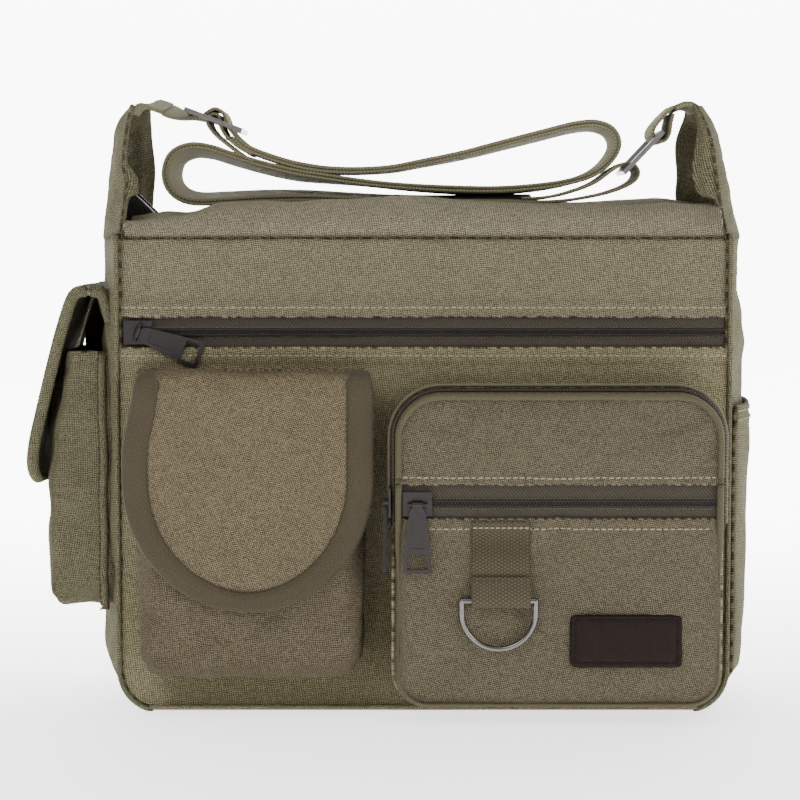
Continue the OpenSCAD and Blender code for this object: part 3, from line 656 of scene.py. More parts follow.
def settle(surface, pinned, outward, swell=0.02, pressure=2.0, cap=5.0, inward_cap=1.0, frames=16):
    """Cloth simulation of one sheet, cut a little larger than the space between its pinned seams and pushed
    out from behind. Each point may move by the caps only."""
    rows, columns = surface.shape[:2]
    normals, flipped = surface_normals(surface, outward)
    mesh = bpy.data.meshes.new("settling")
    mesh.from_pydata((surface.reshape(-1, 3) * MM).tolist(), [], quads(rows, columns, 0, flipped).tolist())
    sheet = bpy.data.objects.new("settling", mesh)
    bpy.context.scene.collection.objects.link(sheet)
    group = sheet.vertex_groups.new(name="pin")
    group.add(np.flatnonzero(pinned.ravel()).tolist(), 1.0, "REPLACE")
    cloth = sheet.modifiers.new("settle", "CLOTH")
    settings = cloth.settings
    settings.quality = 6
    settings.mass = 0.3
    settings.tension_stiffness = 20
    settings.compression_stiffness = 20
    settings.shear_stiffness = 8
    settings.bending_stiffness = 0.6
    settings.vertex_group_mass = "pin"
    settings.shrink_min = -swell
    settings.shrink_max = -swell
    settings.use_pressure = True
    settings.uniform_pressure_force = pressure
    settings.effector_weights.gravity = 0
    cloth.point_cache.frame_start = 1
    cloth.point_cache.frame_end = frames
    for number in range(1, frames + 1):
        bpy.context.scene.frame_set(number)
    settled = sheet.evaluated_get(bpy.context.evaluated_depsgraph_get())
    flat = np.empty(rows * columns * 3, np.float32)
    settled.data.vertices.foreach_get("co", flat)
    bpy.data.objects.remove(sheet)
    bpy.data.meshes.remove(mesh)
    bpy.context.scene.frame_set(1)
    shift = flat.reshape(rows, columns, 3).astype(float) / MM - surface
    out = (shift * normals).sum(axis=-1, keepdims=True)
    sideways = shift - out * normals
    size = np.linalg.norm(sideways, axis=-1, keepdims=True)
    sideways = sideways * np.minimum(1, 2.0 / np.maximum(size, 1e-6))
    limited = np.where(out > 0, cap * np.tanh(out / cap), inward_cap * np.tanh(out / inward_cap))
    return surface + sideways + limited * normals


def hem(distance, along, stitch=4.2, fold=6.5, rise=0.8):
    """Outward rise of a folded, topstitched hem at a distance from its edge, with its small puckers."""
    step = rise * (1 - smooth_step(fold - 0.9, fold + 0.9, distance))
    groove = 0.55 * bell(distance, stitch, 0.9)
    pucker = 0.22 * np.sin(2 * math.pi * along / 3.3) * bell(distance, stitch, 1.6)
    return step - groove + pucker


# Shares of the way from the middle of a boxed pocket's face to its seam where the wall and the round edge end
WALL_END = 0.80
ARC_END = 0.70


def tray(half_w, height, depth, corner, edge, face=(44, 36), rings=(7, 5), puff=2.0):
    """The net of a boxed pocket in its own frame: across, up from its lower edge, and out from its panel.

    Its upper edge is open. Returns the points, their unfolded coordinates and the share of the way from the
    face's middle to the sewn edge.
    """
    wall = np.linspace(1, WALL_END, rings[0])[:-1]
    arc = np.linspace(WALL_END, ARC_END, rings[1])[:-1]
    across = np.concatenate([-wall, -arc, np.linspace(-ARC_END, ARC_END, face[0]), arc[::-1], wall[::-1]])
    upward = np.concatenate([-wall, -arc, np.linspace(-ARC_END, 0, face[1])])
    p, q = grid(across, upward)
    m = np.maximum(np.maximum(abs(p), abs(q)), 1e-6)
    border = pair(p / m * half_w, q / m * height)
    limit = np.array([half_w - corner, height - corner])
    core = np.clip(border, -limit, limit)
    core[..., 1] = np.clip(border[..., 1], -limit[1], None)
    outward = unit(border - core)
    outline = core + corner * outward
    on_wall = m >= WALL_END
    on_side = m >= ARC_END
    full = depth(outline[..., 1] + height) if callable(depth) else np.full(p.shape, float(depth))
    turn = np.clip((WALL_END - m) / (WALL_END - ARC_END), 0, 1) * math.pi / 2
    crown = np.clip((1 - (p / ARC_END) ** 2) * (1 - (q / ARC_END) ** 2), 0, 1) ** 0.8
    wall_out = (1 - m) / (1 - WALL_END) * (full - edge)
    arc_out = full - edge + edge * np.sin(turn)
    out = np.where(on_wall, wall_out, np.where(on_side, arc_out, full + puff * crown))
    inset = edge * (1 - np.cos(turn))
    side_place = outline - outward * inset[..., None]
    face_place = (outline - outward * edge) * np.clip(m / ARC_END, 0, 1)[..., None]
    place = np.where(on_side[..., None], side_place, face_place)
    wall_unfold = edge * 0.57 + (full - edge) - out
    arc_unfold = edge * (0.57 - 1.57 * turn / (math.pi / 2) + 1)
    unfold = np.where(on_wall, wall_unfold, np.where(on_side, arc_unfold, 0))
    uv = place + outward * unfold[..., None]
    return points(place[..., 0], place[..., 1] + height, out), uv, m


def open_rim(m):
    """Pinned points of a pocket: its sewn edge and its open hem."""
    pinned = m > 0.999
    pinned[:, -1] = True
    return pinned

front_low, front_high = mm_box("front_panel_lower")
upper_low, upper_high = mm_box("front_panel_upper")
PANEL_Y = front_low[1]
HALF_W = 150.0
SEAM_Z = upper_high[2]
WINDOW_LOW = front_high[2]
WINDOW_TOP = upper_low[2]
CORNER = 20.0
GUSSET_HALF = 55.8
HEM_STITCH = 4.2
GUSSET_BULGE = 13.0
SEAM_SECTION = oval_section(1.3, 1.3, 10)


def corner_inset(z):
    """How far the body's outline has drawn in at a height, round its lower corners."""
    low = np.clip(CORNER - z, 0, CORNER)
    return CORNER - np.sqrt(CORNER ** 2 - low ** 2)


def side_pull(x, half):
    """How far a panel is drawn back beside its side seams."""
    return 1.6 * bell(half - abs(x), 0, 2.6)


def front_lower():
    """Front panel below its zip: the folded hem along the zip's window, and slow waves in the cloth."""
    z_lines = np.concatenate([np.linspace(0.6, 18, 14), np.linspace(21, WINDOW_LOW, 90)])
    s, z = grid(np.linspace(-1, 1, 150), z_lines)
    half = HALF_W + 0.5 - corner_inset(z)
    x = s * half
    y = np.full(x.shape, PANEL_Y) + side_pull(x, half) + 1.5 * bell(z, 0, 4)
    y = y - hem(WINDOW_LOW - z, x)
    fade = smooth_step(0, 25, half - abs(x)) * smooth_step(0, 20, z)
    surface = points(x, y - fade * (0.5 + 0.5 * ripple(x, z, 3, 60)), z)
    # Painted shade: darker along the side seams, at the base and in the fold of the hem, and towards the
    # bottom of the panel where the pockets shade it, except at its left end.
    shade = 0.8 * bell(half - abs(x), 0, 3) + 0.5 * bell(z, 0, 8) + 0.25 * bell(WINDOW_LOW - z, 7.5, 1)
    shade = shade + 0.6 * smooth_step(130, 30, z) * smooth_step(-138, -118, x)
    cloth = shell("front_lower_panel", surface, 2.2, CANVAS_LOW, FRONT, uv=pair(x, z), shade=shade)
    piece(cloth, "bag", "canvas", "front_panel_lower")
    row = np.argmin(abs(z_lines - (WINDOW_LOW - HEM_STITCH)))
    sew("bag", surface[:, row], FRONT)


def front_upper():
    """Front panel between its zip and the seam of the top band, settled between its edges."""
    z_lines = np.linspace(WINDOW_TOP, SEAM_Z + 0.5, 30)
    x, z = grid(np.linspace(-HALF_W + 1.5, HALF_W - 1.5, 150), z_lines)
    y = PANEL_Y + side_pull(x, HALF_W - 1) + 2.0 * bell(z, SEAM_Z, 1.8)
    pinned = np.zeros(x.shape, bool)
    pinned[[0, -1]] = True
    pinned[:, [0, -1]] = True
    surface = settle(points(x, y, z), pinned, FRONT, 0.006, 0.6, 1.4, 0.4)
    surface[..., 1] -= hem(z - WINDOW_TOP, x) + 0.35 * smooth_step(0, 12, SEAM_Z - z) * ripple(x, z, 11, 45)
    seam_shade = 1.3 * bell(z, SEAM_Z + 0.5, 1.1)
    shade = 0.8 * bell(HALF_W - abs(x), 0, 3) + seam_shade + 0.2 * bell(z - WINDOW_TOP, 7.5, 1)
    cloth = shell("front_upper_panel", surface, 2.2, CANVAS, FRONT, uv=pair(x, z), shade=shade)
    piece(cloth, "bag", "canvas", "front_panel_upper")
    row = np.argmin(abs(z_lines - (WINDOW_TOP + HEM_STITCH)))
    sew("bag", surface[:, row], FRONT)


def back_wall():
    """The back, in four strips round the window of its zip."""
    zip_z, half_height = 190.0, 8.0
    half_window = mm_box("rear_zip_tapes")[1][0] - 4
    low_z, top_z = zip_z - half_height, zip_z + half_height
    layout = (
        (-1, 1, 0.6, low_z), (-1, 1, top_z, SEAM_Z + 0.5),
        (-1, -half_window, low_z, top_z), (half_window, 1, low_z, top_z))
    strips = []
    for x0, x1, z0, z1 in layout:
        columns = 110 if x1 - x0 == 2 else 20
        s, z = grid(np.linspace(0, 1, columns), np.linspace(z0, z1, 60 if z1 - z0 > 50 else 14))
        half = HALF_W + 0.5 - corner_inset(z)
        left = -half if x0 == -1 else np.full(z.shape, float(x0))
        right = half if x1 == 1 else np.full(z.shape, float(x1))
        x = left + (right - left) * s
        fade = smooth_step(0, 20, half - abs(x)) * smooth_step(0, 20, z) * smooth_step(0, 12, SEAM_Z - z)
        fade = fade * smooth_step(0, 12, abs(z - zip_z) - 6)
        pulled = side_pull(x, half) + 1.5 * bell(z, 0, 4) + 1.2 * bell(z, SEAM_Z, 2.5)
        edge = np.hypot(np.maximum(abs(x) - half_window, 0), np.maximum(abs(z - zip_z) - half_height, 0))
        y = -PANEL_Y - pulled + fade * (0.8 + 0.6 * ripple(x, z, 5, 70)) + hem(edge, x + z)
        shade = 0.8 * bell(half - abs(x), 0, 3) + 0.5 * bell(z, 0, 8) + 0.6 * bell(z, SEAM_Z, 1.8)
        surface = points(x, y, z)
        strips.append(shell("back_panel_cloth", surface, 2.2, CANVAS, BACK, uv=pair(x, z), shade=shade))
    piece(join(*strips), "bag", "canvas", "back_panel")
    stitch_y = -PANEL_Y + 0.4
    for z in (low_z - HEM_STITCH, top_z + HEM_STITCH):
        sew("bag", points(np.linspace(-half_window - 4, half_window + 4, 80), stitch_y, z), BACK)
    for x in (-half_window - HEM_STITCH, half_window + HEM_STITCH):
        sew("bag", points(x, stitch_y, np.linspace(low_z - 4, top_z + 4, 20)), BACK)


def gusset(side):
    """End wall: bulged between its seams, crumpled a little, and turned in round the lower corner."""
    name = "left" if side < 0 else "right"
    angle = np.linspace(0, math.pi / 2, 12)[:-1]
    low = CORNER - CORNER * np.cos(angle) + 0.3
    z_line = np.concatenate([low, np.linspace(CORNER, SEAM_Z + 0.5, 80)])
    s, z = grid(np.linspace(-1, 1, 50), z_line)
    y = s * GUSSET_HALF
    bulge = GUSSET_BULGE * (0.5 + 0.5 * smooth_step(0, 30, z)) * (1 - s ** 2) ** 0.9
    fade = (1 - s ** 4) * smooth_step(0, 15, z) * smooth_step(0, 20, SEAM_Z - z)
    crumple = (1.3 * ripple(y, z, 20 + side, 55) + 0.6 * ripple(y, z, 30 + side, 22)) * fade
    narrowing = (2.0 if side > 0 else 0.5) * smooth_step(165, SEAM_Z, z) * (1 - s ** 2)
    corner = corner_inset(z) * (1 + 0.3 * (1 - s ** 2))
    x = side * (HALF_W + bulge + crumple - narrowing - 0.3 - corner)
    shade = 0.85 * bell(1 - abs(s), 0, 0.05) + 0.5 * bell(z, 0, 8) + 0.6 * bell(z, SEAM_Z, 2)
    cloth = shell(f"gusset_{name}_cloth", points(x, y, z), 2.2, CANVAS_SIDE, side * RIGHT, shade=shade)
    piece(cloth, "bag", "canvas", f"gusset_{name}")
    for end, place in ENDS:
        seam = even_points(points(side * (HALF_W + 0.6 - corner_inset(z_line)), end * 56.0, z_line), 3)
        roll = sweep(f"side_seam_{name}_{place}", seam, SEAM_SECTION, CANVAS_SIDE, FRONT)
        piece(roll, "bag", "canvas")


def base():
    """Cloth under the base, with its two long seams."""
    x, y = grid(np.linspace(-138, 138, 90), np.linspace(-55.5, 55.5, 40))
    z = 0.3 + 1.6 * bell(55.5 - abs(y), 0, 3)
    shade = 0.5 * bell(55.5 - abs(y), 0, 5)
    cloth = shell("base_cloth", points(x, y, z), 2.0, CANVAS_LOW, DOWN, uv=pair(x, y), shade=shade)
    piece(cloth, "bag", "canvas", "base_panel")
    for end, place in ENDS:
        line = points(np.linspace(-136, 136, 60), end * 56.0, 1.6)
        piece(sweep(f"base_seam_{place}", line, SEAM_SECTION, CANVAS_LOW, UP), "bag", "canvas")


def lining():
    """Inner bag: walls that hang in soft folds, and a floor."""
    low, high = mm_box("lining")
    corner = 10.0
    half = np.array([high[0], high[1]])
    angle = np.linspace(0, 2 * math.pi, 161)
    square = pair(np.cos(angle), np.sin(angle))
    square = square / np.maximum(abs(square[:, :1]), abs(square[:, 1:]))
    border = square * half
    core = np.clip(border, -(half - corner), half - corner)
    outline = core + corner * unit(border - core)
    k, z = grid(np.arange(161), np.linspace(low[2] + 1, high[2], 60))
    around = angle[k] * 60
    wave = 0.6 * ripple(around, z, 41, 40) * np.sin(angle[k]) ** 2 * smooth_step(0, 20, high[2] - z)
    inset = 1 - (0.8 + abs(wave)) / np.linalg.norm(outline[k], axis=-1)
    walls = points(outline[k][..., 0] * inset, outline[k][..., 1] * inset, z)
    outside = points(outline[k][..., 0], outline[k][..., 1], 0 * z)
    wall = shell("lining_walls", walls, 0.5, LINING, -outside)
    x, y = grid(np.linspace(low[0] + 2, high[0] - 2, 60), np.linspace(low[1] + 2, high[1] - 2, 30))
    floor = shell("lining_floor", points(x, y, low[2] + 1.2 + 0.3 * ripple(x, y, 43, 50)), 0.6, LINING, UP)
    piece(join(wall, floor), "bag", "lining", "lining")
    low, high = mm_box("inner_pocket")
    x, z = grid(np.linspace(low[0], high[0], 70), np.linspace(low[2], high[2], 40))
    edge = np.minimum(x - low[0], high[0] - x)
    y = high[1] - 0.4 - 6.3 * smooth_step(0, 8, edge) * smooth_step(-2, 10, z - low[2])
    y = y + 0.5 * ripple(x, z, 44, 40) * smooth_step(0, 10, edge)
    surface = points(x, np.minimum(y, high[1] - 0.4), z)
    piece(shell("inner_pocket_cloth", surface, 0.6, LINING, FRONT), "bag", "lining", "inner_pocket")
    hem_line = points(np.linspace(low[0] + 3, high[0] - 3, 60), surface[35, -1, 1] - 0.1, high[2] - 4)
    sew("bag", hem_line, FRONT, thread="dark")


# ---------- mouth ----------


def band(side):
    """Crowned top band: gathered along its seam, uneven along its crest, and sewn to the zip."""
    name = "front" if side < 0 else "rear"
    seed = 51 if side < 0 else 57
    knots = np.array([
        [57.4, 234.6], [56.6, 238.5], [54.2, 243.5], [49.5, 248.3], [42, 251.4], [33, 252.6], [24, 250.8],
        [15, 246.4], [8.4, 242.4]])
    profile = curve_through(points(0.0, knots[:, 0], knots[:, 1]), 1.6)
    n = len(profile)
    x, k = grid(np.linspace(-146, 146, 190), np.arange(n))
    t = k / (n - 1)
    y0, z0 = profile[k][..., 1], profile[k][..., 2]
    crest = bell(t, 0.50, 0.26)
    dip = 6.0 * smooth_step(-98, -124, x) + 4.5 * smooth_step(-132, -146, x) + 1.8 * smooth_step(120, 140, x)
    sag = (1.2 * ripple(x, 0 * x, seed, 95, 5) - dip) * crest - 1.2 * bell(x, -136, 7) * bell(t, 0.35, 0.2)
    near_seam = 0.55 * ripple(x, t * 25, seed + 1, 16) * bell(t, 0.10, 0.12)
    gathers = near_seam + 0.5 * ripple(x, t * 60, seed + 2, 30)
    gathers = gathers * smooth_step(0, 0.06, t) * smooth_step(1, 0.9, t)
    z = z0 + sag + gathers * 0.6
    y = y0 + gathers * 0.9 * bell(t, 0.15, 0.25)
    shade = 1.3 * bell(t, 0, 0.02) + 0.3 * bell(t, 1, 0.03) + 0.2 * smooth_step(135, 146, abs(x))
    surface = points(x, side * y, z)
    outward = UP + 0.2 * side * BACK
    obj = shell(f"top_band_{name}_cloth", surface, 1.6, CANVAS_BAND, outward, uv=pair(x, t * 60), shade=shade)
    piece(obj, None, "canvas", f"top_band_{name}")
    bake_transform(obj)
    sew(f"mouth_{name}", surface[4:-4, -4], UP)


def main_zip():
    """The main zip's teeth, half on each side of the mouth, and its ends, one of them up in the horn."""
    z = mm_box("main_zip_rear")[0][2] + 1.5
    length = mm_box("main_zip_rear")[1][0]
    for side, place in ENDS:
        body = f"mouth_{place}"
        spots = even_points(points(np.linspace(-length, length, 60), side * 1.1, z), TOOTH_PITCH)
        centres = spots + RIGHT * (0.37 * side)
        across, out = (np.broadcast_to(way, spots.shape) for way in (BACK, UP))
        teeth = capsule_set(f"main_zip_teeth_{body}", centres, across, out, (2.8, 1.05, 1.7), TEETH)
        piece(teeth, body, "zip_coil")
    knots = [[-129.5, 241.0], [-134, 244.4], [-138.5, 248.8], [-144, 254.0], [-150, 259.2], [-153, 261.5]]
    line = curve_through(in_xz(knots), 1.5)
    s, k = grid(np.linspace(-1, 1, 40), np.arange(len(line)))
    fall = np.clip((abs(s) - 0.5) / 0.5, 0, 1)
    wedge_z = line[k][..., 2] - fall * (line[k][..., 2] - 240.5)
    wedge = points(line[k][..., 0], 9.0 * np.clip(1.7 * s, -1, 1) + 0.8 * s, wedge_z)
    left = shell("main_zip_ends_cloth", wedge, 0.9, END_TAPE, UP)
    x, y = grid(np.linspace(128.6, 152, 20), np.linspace(-8, 8, 12))
    right = shell("main_zip_end_right", points(x, y, 240.2 + 0.4 * abs(y) / 8), 0.7, END_TAPE, UP)
    piece(join(left, right), "bag", "zip_tape", "main_zip_ends")
    zip_teeth("main_zip_teeth_left", "bag", line + UP * 0.5, FRONT)


# At heights above the base: how far out the horn's bulge, front edge and rear edge lie, and how wide the
# facing of its front edge is
HORN_SHAPE = {
    "left": {
        "out": [[235, 162.3], [250, 161], [263, 160], [277, 158], [287, 156.5], [294, 154], [300.5, 148.5]],
        "front": [[235, 149.5], [252, 148.5], [262, 148], [270, 150.2], [285, 149.5], [300.5, 147.5]],
        "rear": [[235, 151], [248, 144.5], [258, 142.5], [277, 141], [290, 141.5], [300.5, 143.5]],
        "facing": [[235, 1.2], [253, 2.0], [256, 5.5], [266, 5.0], [274, 1.6], [300.5, 1.2]]},
    "right": {
        "out": [[235, 160.8], [250, 157.5], [265, 155], [280, 151.5], [291, 148.5], [300.5, 142]],
        "front": [[235, 149.5], [252, 147.5], [265, 146.5], [280, 145.5], [290, 143], [300.5, 138.5]],
        "rear": [[235, 151], [248, 139], [258, 135], [270, 134], [280, 134.8], [300.5, 137]],
        "facing": [
            [235, 1.2], [252, 2.5], [255, 9], [265, 11], [275, 9.5], [288, 5], [298, 2.5], [300.5, 2]]}}


def horn(side):
    """Horn at the end of the body: it narrows and leans in to the strap. Its front edge is faced with a strip
    that is folded inward, and behind it the inside of the crumpled rear half shows."""
    name = "left" if side < 0 else "right"
    seed = 61 if side < 0 else 67
    base_z, top_z = SEAM_Z - 1.0, 300.5
    z_line = np.linspace(base_z, top_z, 50)
    shape = {}
    for part, knots in HORN_SHAPE[name].items():
        line = curve_through(in_xz([[a, b] for b, a in knots]), 1.0)
        shape[part] = np.interp(z_line, line[:, 2], line[:, 0])
    s, k = grid(np.linspace(-1, 1, 70), np.arange(50))
    z = z_line[k]
    rise = np.clip((z - SEAM_Z) / (300 - SEAM_Z), 0, 1)
    half = 55.5 - 36 * rise ** 0.8
    out, front, rear = (shape[part][k] for part in ("out", "front", "rear"))
    fade = smooth_step(0, 0.15, rise) * (1 - abs(s) ** 8)
    crease = 1.1 * ripple(s * half, z * 1.2, seed, 30) + 0.35 * ripple(s * half * 1.4, z * 1.6, seed + 1, 12)
    curl = np.where(s < 0, abs(s) ** 2.6 * (out - front), abs(s) ** 2.0 * (out - rear))
    x = out - curl + crease * fade * np.where(s > 0, 1.2, 0.45)
    x = x + smooth_step(0.7, 1, s) * smooth_step(0.05, 0.2, rise) * 0.8 * ripple(z, 0 * z, seed + 3, 30, 4)
    y = half * s + 0.6 * ripple(z, s * 20, seed + 2, 20) * fade
    surface = points(side * x, y, z)
    shade = 0.8 * bell(z, base_z, 2.5) + 0.4 * np.clip(-crease, 0, 1) * fade
    obj = shell(f"horn_{name}_cloth", surface, 1.8, CANVAS_SIDE, np.array([side, 0, 0.2]), shade=shade)
    piece(obj, "bag", "canvas", f"horn_{name}")
    edge = surface[0] + points(side * -0.9, 0.4, 0.0)
    width = shape["facing"]
    t, k = grid(np.linspace(0, 1, 14), np.arange(50))
    wave = 0.5 * ripple(z_line[k], t * 8, seed + 4, 14)
    inward = width[k] * t + 0.6 * np.sin(t * math.pi)
    roll = 1.6 * np.sin(np.clip(t * 1.25, 0, 1) * math.pi)
    facing_y = edge[k][..., 1] - roll + (1.5 + 0.12 * width[k]) * t + wave * t
    facing = points(edge[k][..., 0] - side * inward, facing_y, z_line[k])
    shade = 0.75 * bell(t, 0, 0.12) + 0.15 * smooth_step(0.8, 1, t)
    strip = shell(f"horn_{name}_facing", facing, 1.5, CANVAS_SIDE, FRONT, shade=shade)
    piece(strip, "bag", "canvas")
    edge_row = edge[3:-3] + points(side * 0.4, -1.4, 0.0)
    sew("bag", edge_row, FRONT, pitch=3.0, length=2.2, thread="dark", lift=-0.2)
    corner = facing[2:, int(np.interp(254.0, z_line, np.arange(50)))]
    sew("bag", corner, FRONT, pitch=2.2, length=1.8, thread="dark", lift=0.1)


def slip_pocket():
    """Slip pocket on the right end: a sheet that follows the bulge, with a double-stitched hem."""
    top = mm_box("slip_pocket")[1][2]
    s, z = grid(np.linspace(-1, 1, 50), np.linspace(19, top, 60))
    y = s * 53.5
    bulge = GUSSET_BULGE * (0.5 + 0.5 * smooth_step(0, 30, z)) * (1 - (y / GUSSET_HALF) ** 2) ** 0.9
    crumple = 0.9 * ripple(y, z, 71, 45) * (1 - s ** 4) * smooth_step(0, 20, z)
    gape = 1.6 * (1 - s ** 4) * smooth_step(60, top, z)
    x = HALF_W + bulge + 2.6 + crumple + gape - corner_inset(z) * 1.2 + hem(top - z, y, 4.5, 9)
    surface = points(x, y, z)
    shade = 0.7 * bell(1 - abs(s), 0, 0.06) + 0.3 * bell(top - z, 10, 1.2)
    cloth = shell("slip_pocket_cloth", surface, 2.0, CANVAS_SIDE, RIGHT, shade=shade)
    piece(cloth, "bag", "canvas", "slip_pocket")
    for distance in (2.6, 7.6):
        row = np.argmin(abs(z[0] - (top - distance)))
        sew("bag", surface[1:-1, row], RIGHT)


def pouch():
    """Boxed pouch on the left end, with a rolled welt at each side."""
    low, high = mm_box("side_pouch")
    height = high[2] - low[2]
    base_x = 152.0

    def depth(up):
        return (187.0 - base_x) - 9.0 * smooth_step(55, height, up) - 2.5 * bell(up, 0, 6)

    local, uv, m = tray(40.0, height, depth, 7.0, 5.0, (34, 56), puff=1.5)
    across, up, out = (local[..., k] for k in range(3))
    world = points(-(base_x + out), across, low[2] + up)
    world = settle(world, open_rim(m), LEFT, 0.012, 1.2, 2.5, 1.0)
    near_top = smooth_step(0, 15, height - up)
    side_wall = (m > 0.8) * (m < 0.99)
    world[..., 0] -= 0.7 * ripple(across, up, 81, 30) * near_top * (m < 0.8)
    world[..., 1] += np.sign(across) * 0.8 * ripple(out, up, 82, 28) * near_top * side_wall
    shade = 0.8 * bell(m, 1, 0.03) + 0.45 * bell(m, 0.745, 0.012)
    cloth = shell("side_pouch_cloth", world, 2.0, CANVAS_SIDE, LEFT, uv=uv, shade=shade)
    piece(cloth, "bag", "canvas", "side_pouch")
    z_line = np.linspace(low[2] - 1.5, high[2] - 0.5, 60)
    shade = 0.35 * smooth_step(high[2] - 6, high[2], z_line)
    tape = oval_section(2.0, 2.0, 12)
    for end, place in ENDS:
        welt = points(0.5 * ripple(z_line, 0 * z_line, 83 + end, 40) - 159.5, end * 41.2, z_line)
        roll = sweep(f"side_pouch_welt_{place}", welt, tape, CANVAS_SIDE, FRONT, shade=shade)
        piece(roll, "bag", "canvas")
        row = welt + points(-2.3, end * 0.5, 0.0)
        sew("bag", row, FRONT * -end, pitch=3.0, length=2.0, thread="dark", lift=-0.1)


POUCH_FLAP_ROUTE = [
    [-161.3, 196], [-162.6, 203], [-165.5, 208.6], [-170, 210.6], [-175.2, 207.6], [-180.0, 194],
    [-185.0, 176], [-191, 152], [-195.6, 132], [-196.8, 120], [-195.3, 112.5]]


def pouch_flap():
    """The pouch's stiff bound flap, from its seam over the pouch and down, with rolled ends at the seam."""
    profile = curve_through(in_xz(POUCH_FLAP_ROUTE), 2.2)
    n = len(profile)
    s, k = grid(np.linspace(-1, 1, 44), np.arange(n))
    route_x, route_z = profile[k][..., 0], profile[k][..., 2]
    drop = np.clip((route_z - 112.5) / 14, 0, 1)
    half = 41.0 - 9.0 * (1 - np.sqrt(np.clip(1 - (1 - drop) ** 2, 0, 1)))
    t = k / (n - 1)
    puff = 1.2 * (1 - s ** 2) * np.sin(math.pi * t) + 0.6 * ripple(s * 40, t * 110, 84, 35) * (1 - s ** 4)
    bulge = GUSSET_BULGE * (1 - (1 - (s * half / GUSSET_HALF) ** 2) ** 0.9)
    x = route_x - puff * 0.7 + bulge * smooth_step(-173, -164, route_x)
    z = route_z + 0.3 * puff - 2.0 * abs(s) ** 3 * smooth_step(-185, -170, route_x)
    surface = points(x, s * half, z)
    outward = LEFT + 0.6 * UP
    flap = shell("pouch_flap_cloth", surface, 3.0, CANVAS_SIDE, outward, shade=0.6 * bell(t, 0, 0.04))
    piece(flap, None, "canvas", "pouch_flap")
    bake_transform(flap)
    first = int(np.argmax(profile[:, 0] < -163.5))
    rim = np.concatenate([surface[0, first:], surface[1:-1, -1], surface[-1, first:][::-1]])
    line = even_points(rim, 2.5)
    inward = unit(np.array([-178.0, 0, 160]) - line) * 0.8
    tape = oval_section(3.1, 2.3, 14)
    bound = sweep("pouch_flap_binding", line + inward + RIGHT * 1.5, tape, CANVAS_SIDE, LEFT)
    piece(bound, "pouch_flap", "canvas")
    # A dark lining sheet under the rear end of the flap, hung down to the pouch: painted shade in the gap
    # under the flap.
    share, t = grid(np.linspace(0, 1, 10), np.linspace(0, 1, 12))
    under = profile[(profile[:, 0] < -166) & (profile[:, 2] > 188)]
    spot = np.linspace(0, len(under) - 1, 12)
    top_x, top_z = (np.interp(spot, np.arange(len(under)), under[:, c]) for c in (0, 2))
    top_x, top_z = top_x + 3.6, top_z - 3.6
    lower_edge = mm_box("side_pouch")[1][2] - 4
    shade_sheet = points(top_x[None], 35.0 + 1.2 * np.sin(4 * t), top_z + (lower_edge - top_z) * share)
    piece(shell("pouch_flap_shade_sheet", shade_sheet, 0.8, LINING, FRONT), "pouch_flap", "lining")
    curl = points(np.linspace(-155.5, -159.5, 16), -43.0, np.linspace(192.5, 208, 16))
    for end, place in ENDS:
        path = curl * np.array([1, -end, 1.0])
        ear = sweep(f"pouch_flap_end_{place}", path, oval_section(2.6, 2.0, 12), CANVAS_SIDE, LEFT)
        piece(ear, "bag", "webbing")


# ---------- flap pocket ----------


def phone_pocket():
    """Boxed pocket under the flap: it droops at its lower edge and crumples a little."""
    low, high = mm_box("phone_pocket")
    half = (high[0] - low[0]) / 2
    centre = (high[0] + low[0]) / 2
    height = high[2] - low[2]

    def depth(up):
        return 27.0 - 2.5 * bell(up, 0, 16) - 3.0 * smooth_step(100, height, up)

    local, uv, m = tray(half, height, depth, 14.0, 7.0, (48, 54), puff=2.5)
    across, up, out = (local[..., k] for k in range(3))
    droop = 2.2 * smooth_step(0, 22, out) * smooth_step(40, 0, up)
    world = points(centre + across, PANEL_Y + 0.4 - out, low[2] + up - droop)
    world = settle(world, open_rim(m), FRONT, 0.022, 2.2, 3.5, 1.5)
    face_creases = 0.9 * ripple(across, up, 91, 34) + 0.35 * ripple(across, up, 92, 12)
    world[..., 1] -= face_creases * smooth_step(0, 12, height - up) * (m < 0.8)
    on_floor = (m > 0.72) * (m < 0.99) * bell(up, 0, 14)
    world[..., 2] += 0.8 * ripple(across, out, 93, 22) * on_floor
    shade = 0.9 * bell(m, 1, 0.03) + 0.3 * bell(up, 0, 8)
    cloth = shell("phone_pocket_cloth", world, 1.8, CANVAS_POCKET, FRONT, uv=uv, shade=shade)
    piece(cloth, "bag", "canvas", "phone_pocket")
    column = int(np.argmin(abs(m[:, -1] - 0.97) + 10 * (np.arange(m.shape[0]) < m.shape[0] / 2)))
    sew("bag", world[column, 8:-1], FRONT + RIGHT * 0.8, lift=0.3)
    sew("bag", points(np.linspace(low[0] + 12, high[0] - 12, 50), PANEL_Y - 0.3, low[2] - 2.2), FRONT)


seam_low, seam_high = mm_box("phone_flap_seam")
FLAP_X = (seam_low[0] + seam_high[0]) / 2
FLAP_R = (seam_high[0] - seam_low[0]) / 2
FLAP_ROUND_Z = 119.0
FLAP_DROP = 64.0
FLAP_TOP_Z = 169.5


def flap_front_y(x, z):
    """Outer face of the hanging part of the flap: drawn in at its sides and pushed out by what it covers."""
    across = (x - FLAP_X) / FLAP_R
    down = np.clip((FLAP_TOP_Z - z) / (FLAP_TOP_Z - FLAP_ROUND_Z + FLAP_DROP), 0, 1)
    belly = 1.3 * (1 - across ** 2) * np.sin(math.pi * np.clip(down * 1.1, 0, 1)) ** 0.8
    fold = 3.2 * bell(down, 0, 0.045)
    waves = 0.55 * ripple(x, z, 101, 42) * smooth_step(0, 0.15, down)
    return -91.0 - belly - waves + fold + 0.8 * smooth_step(0.82, 1, abs(across))


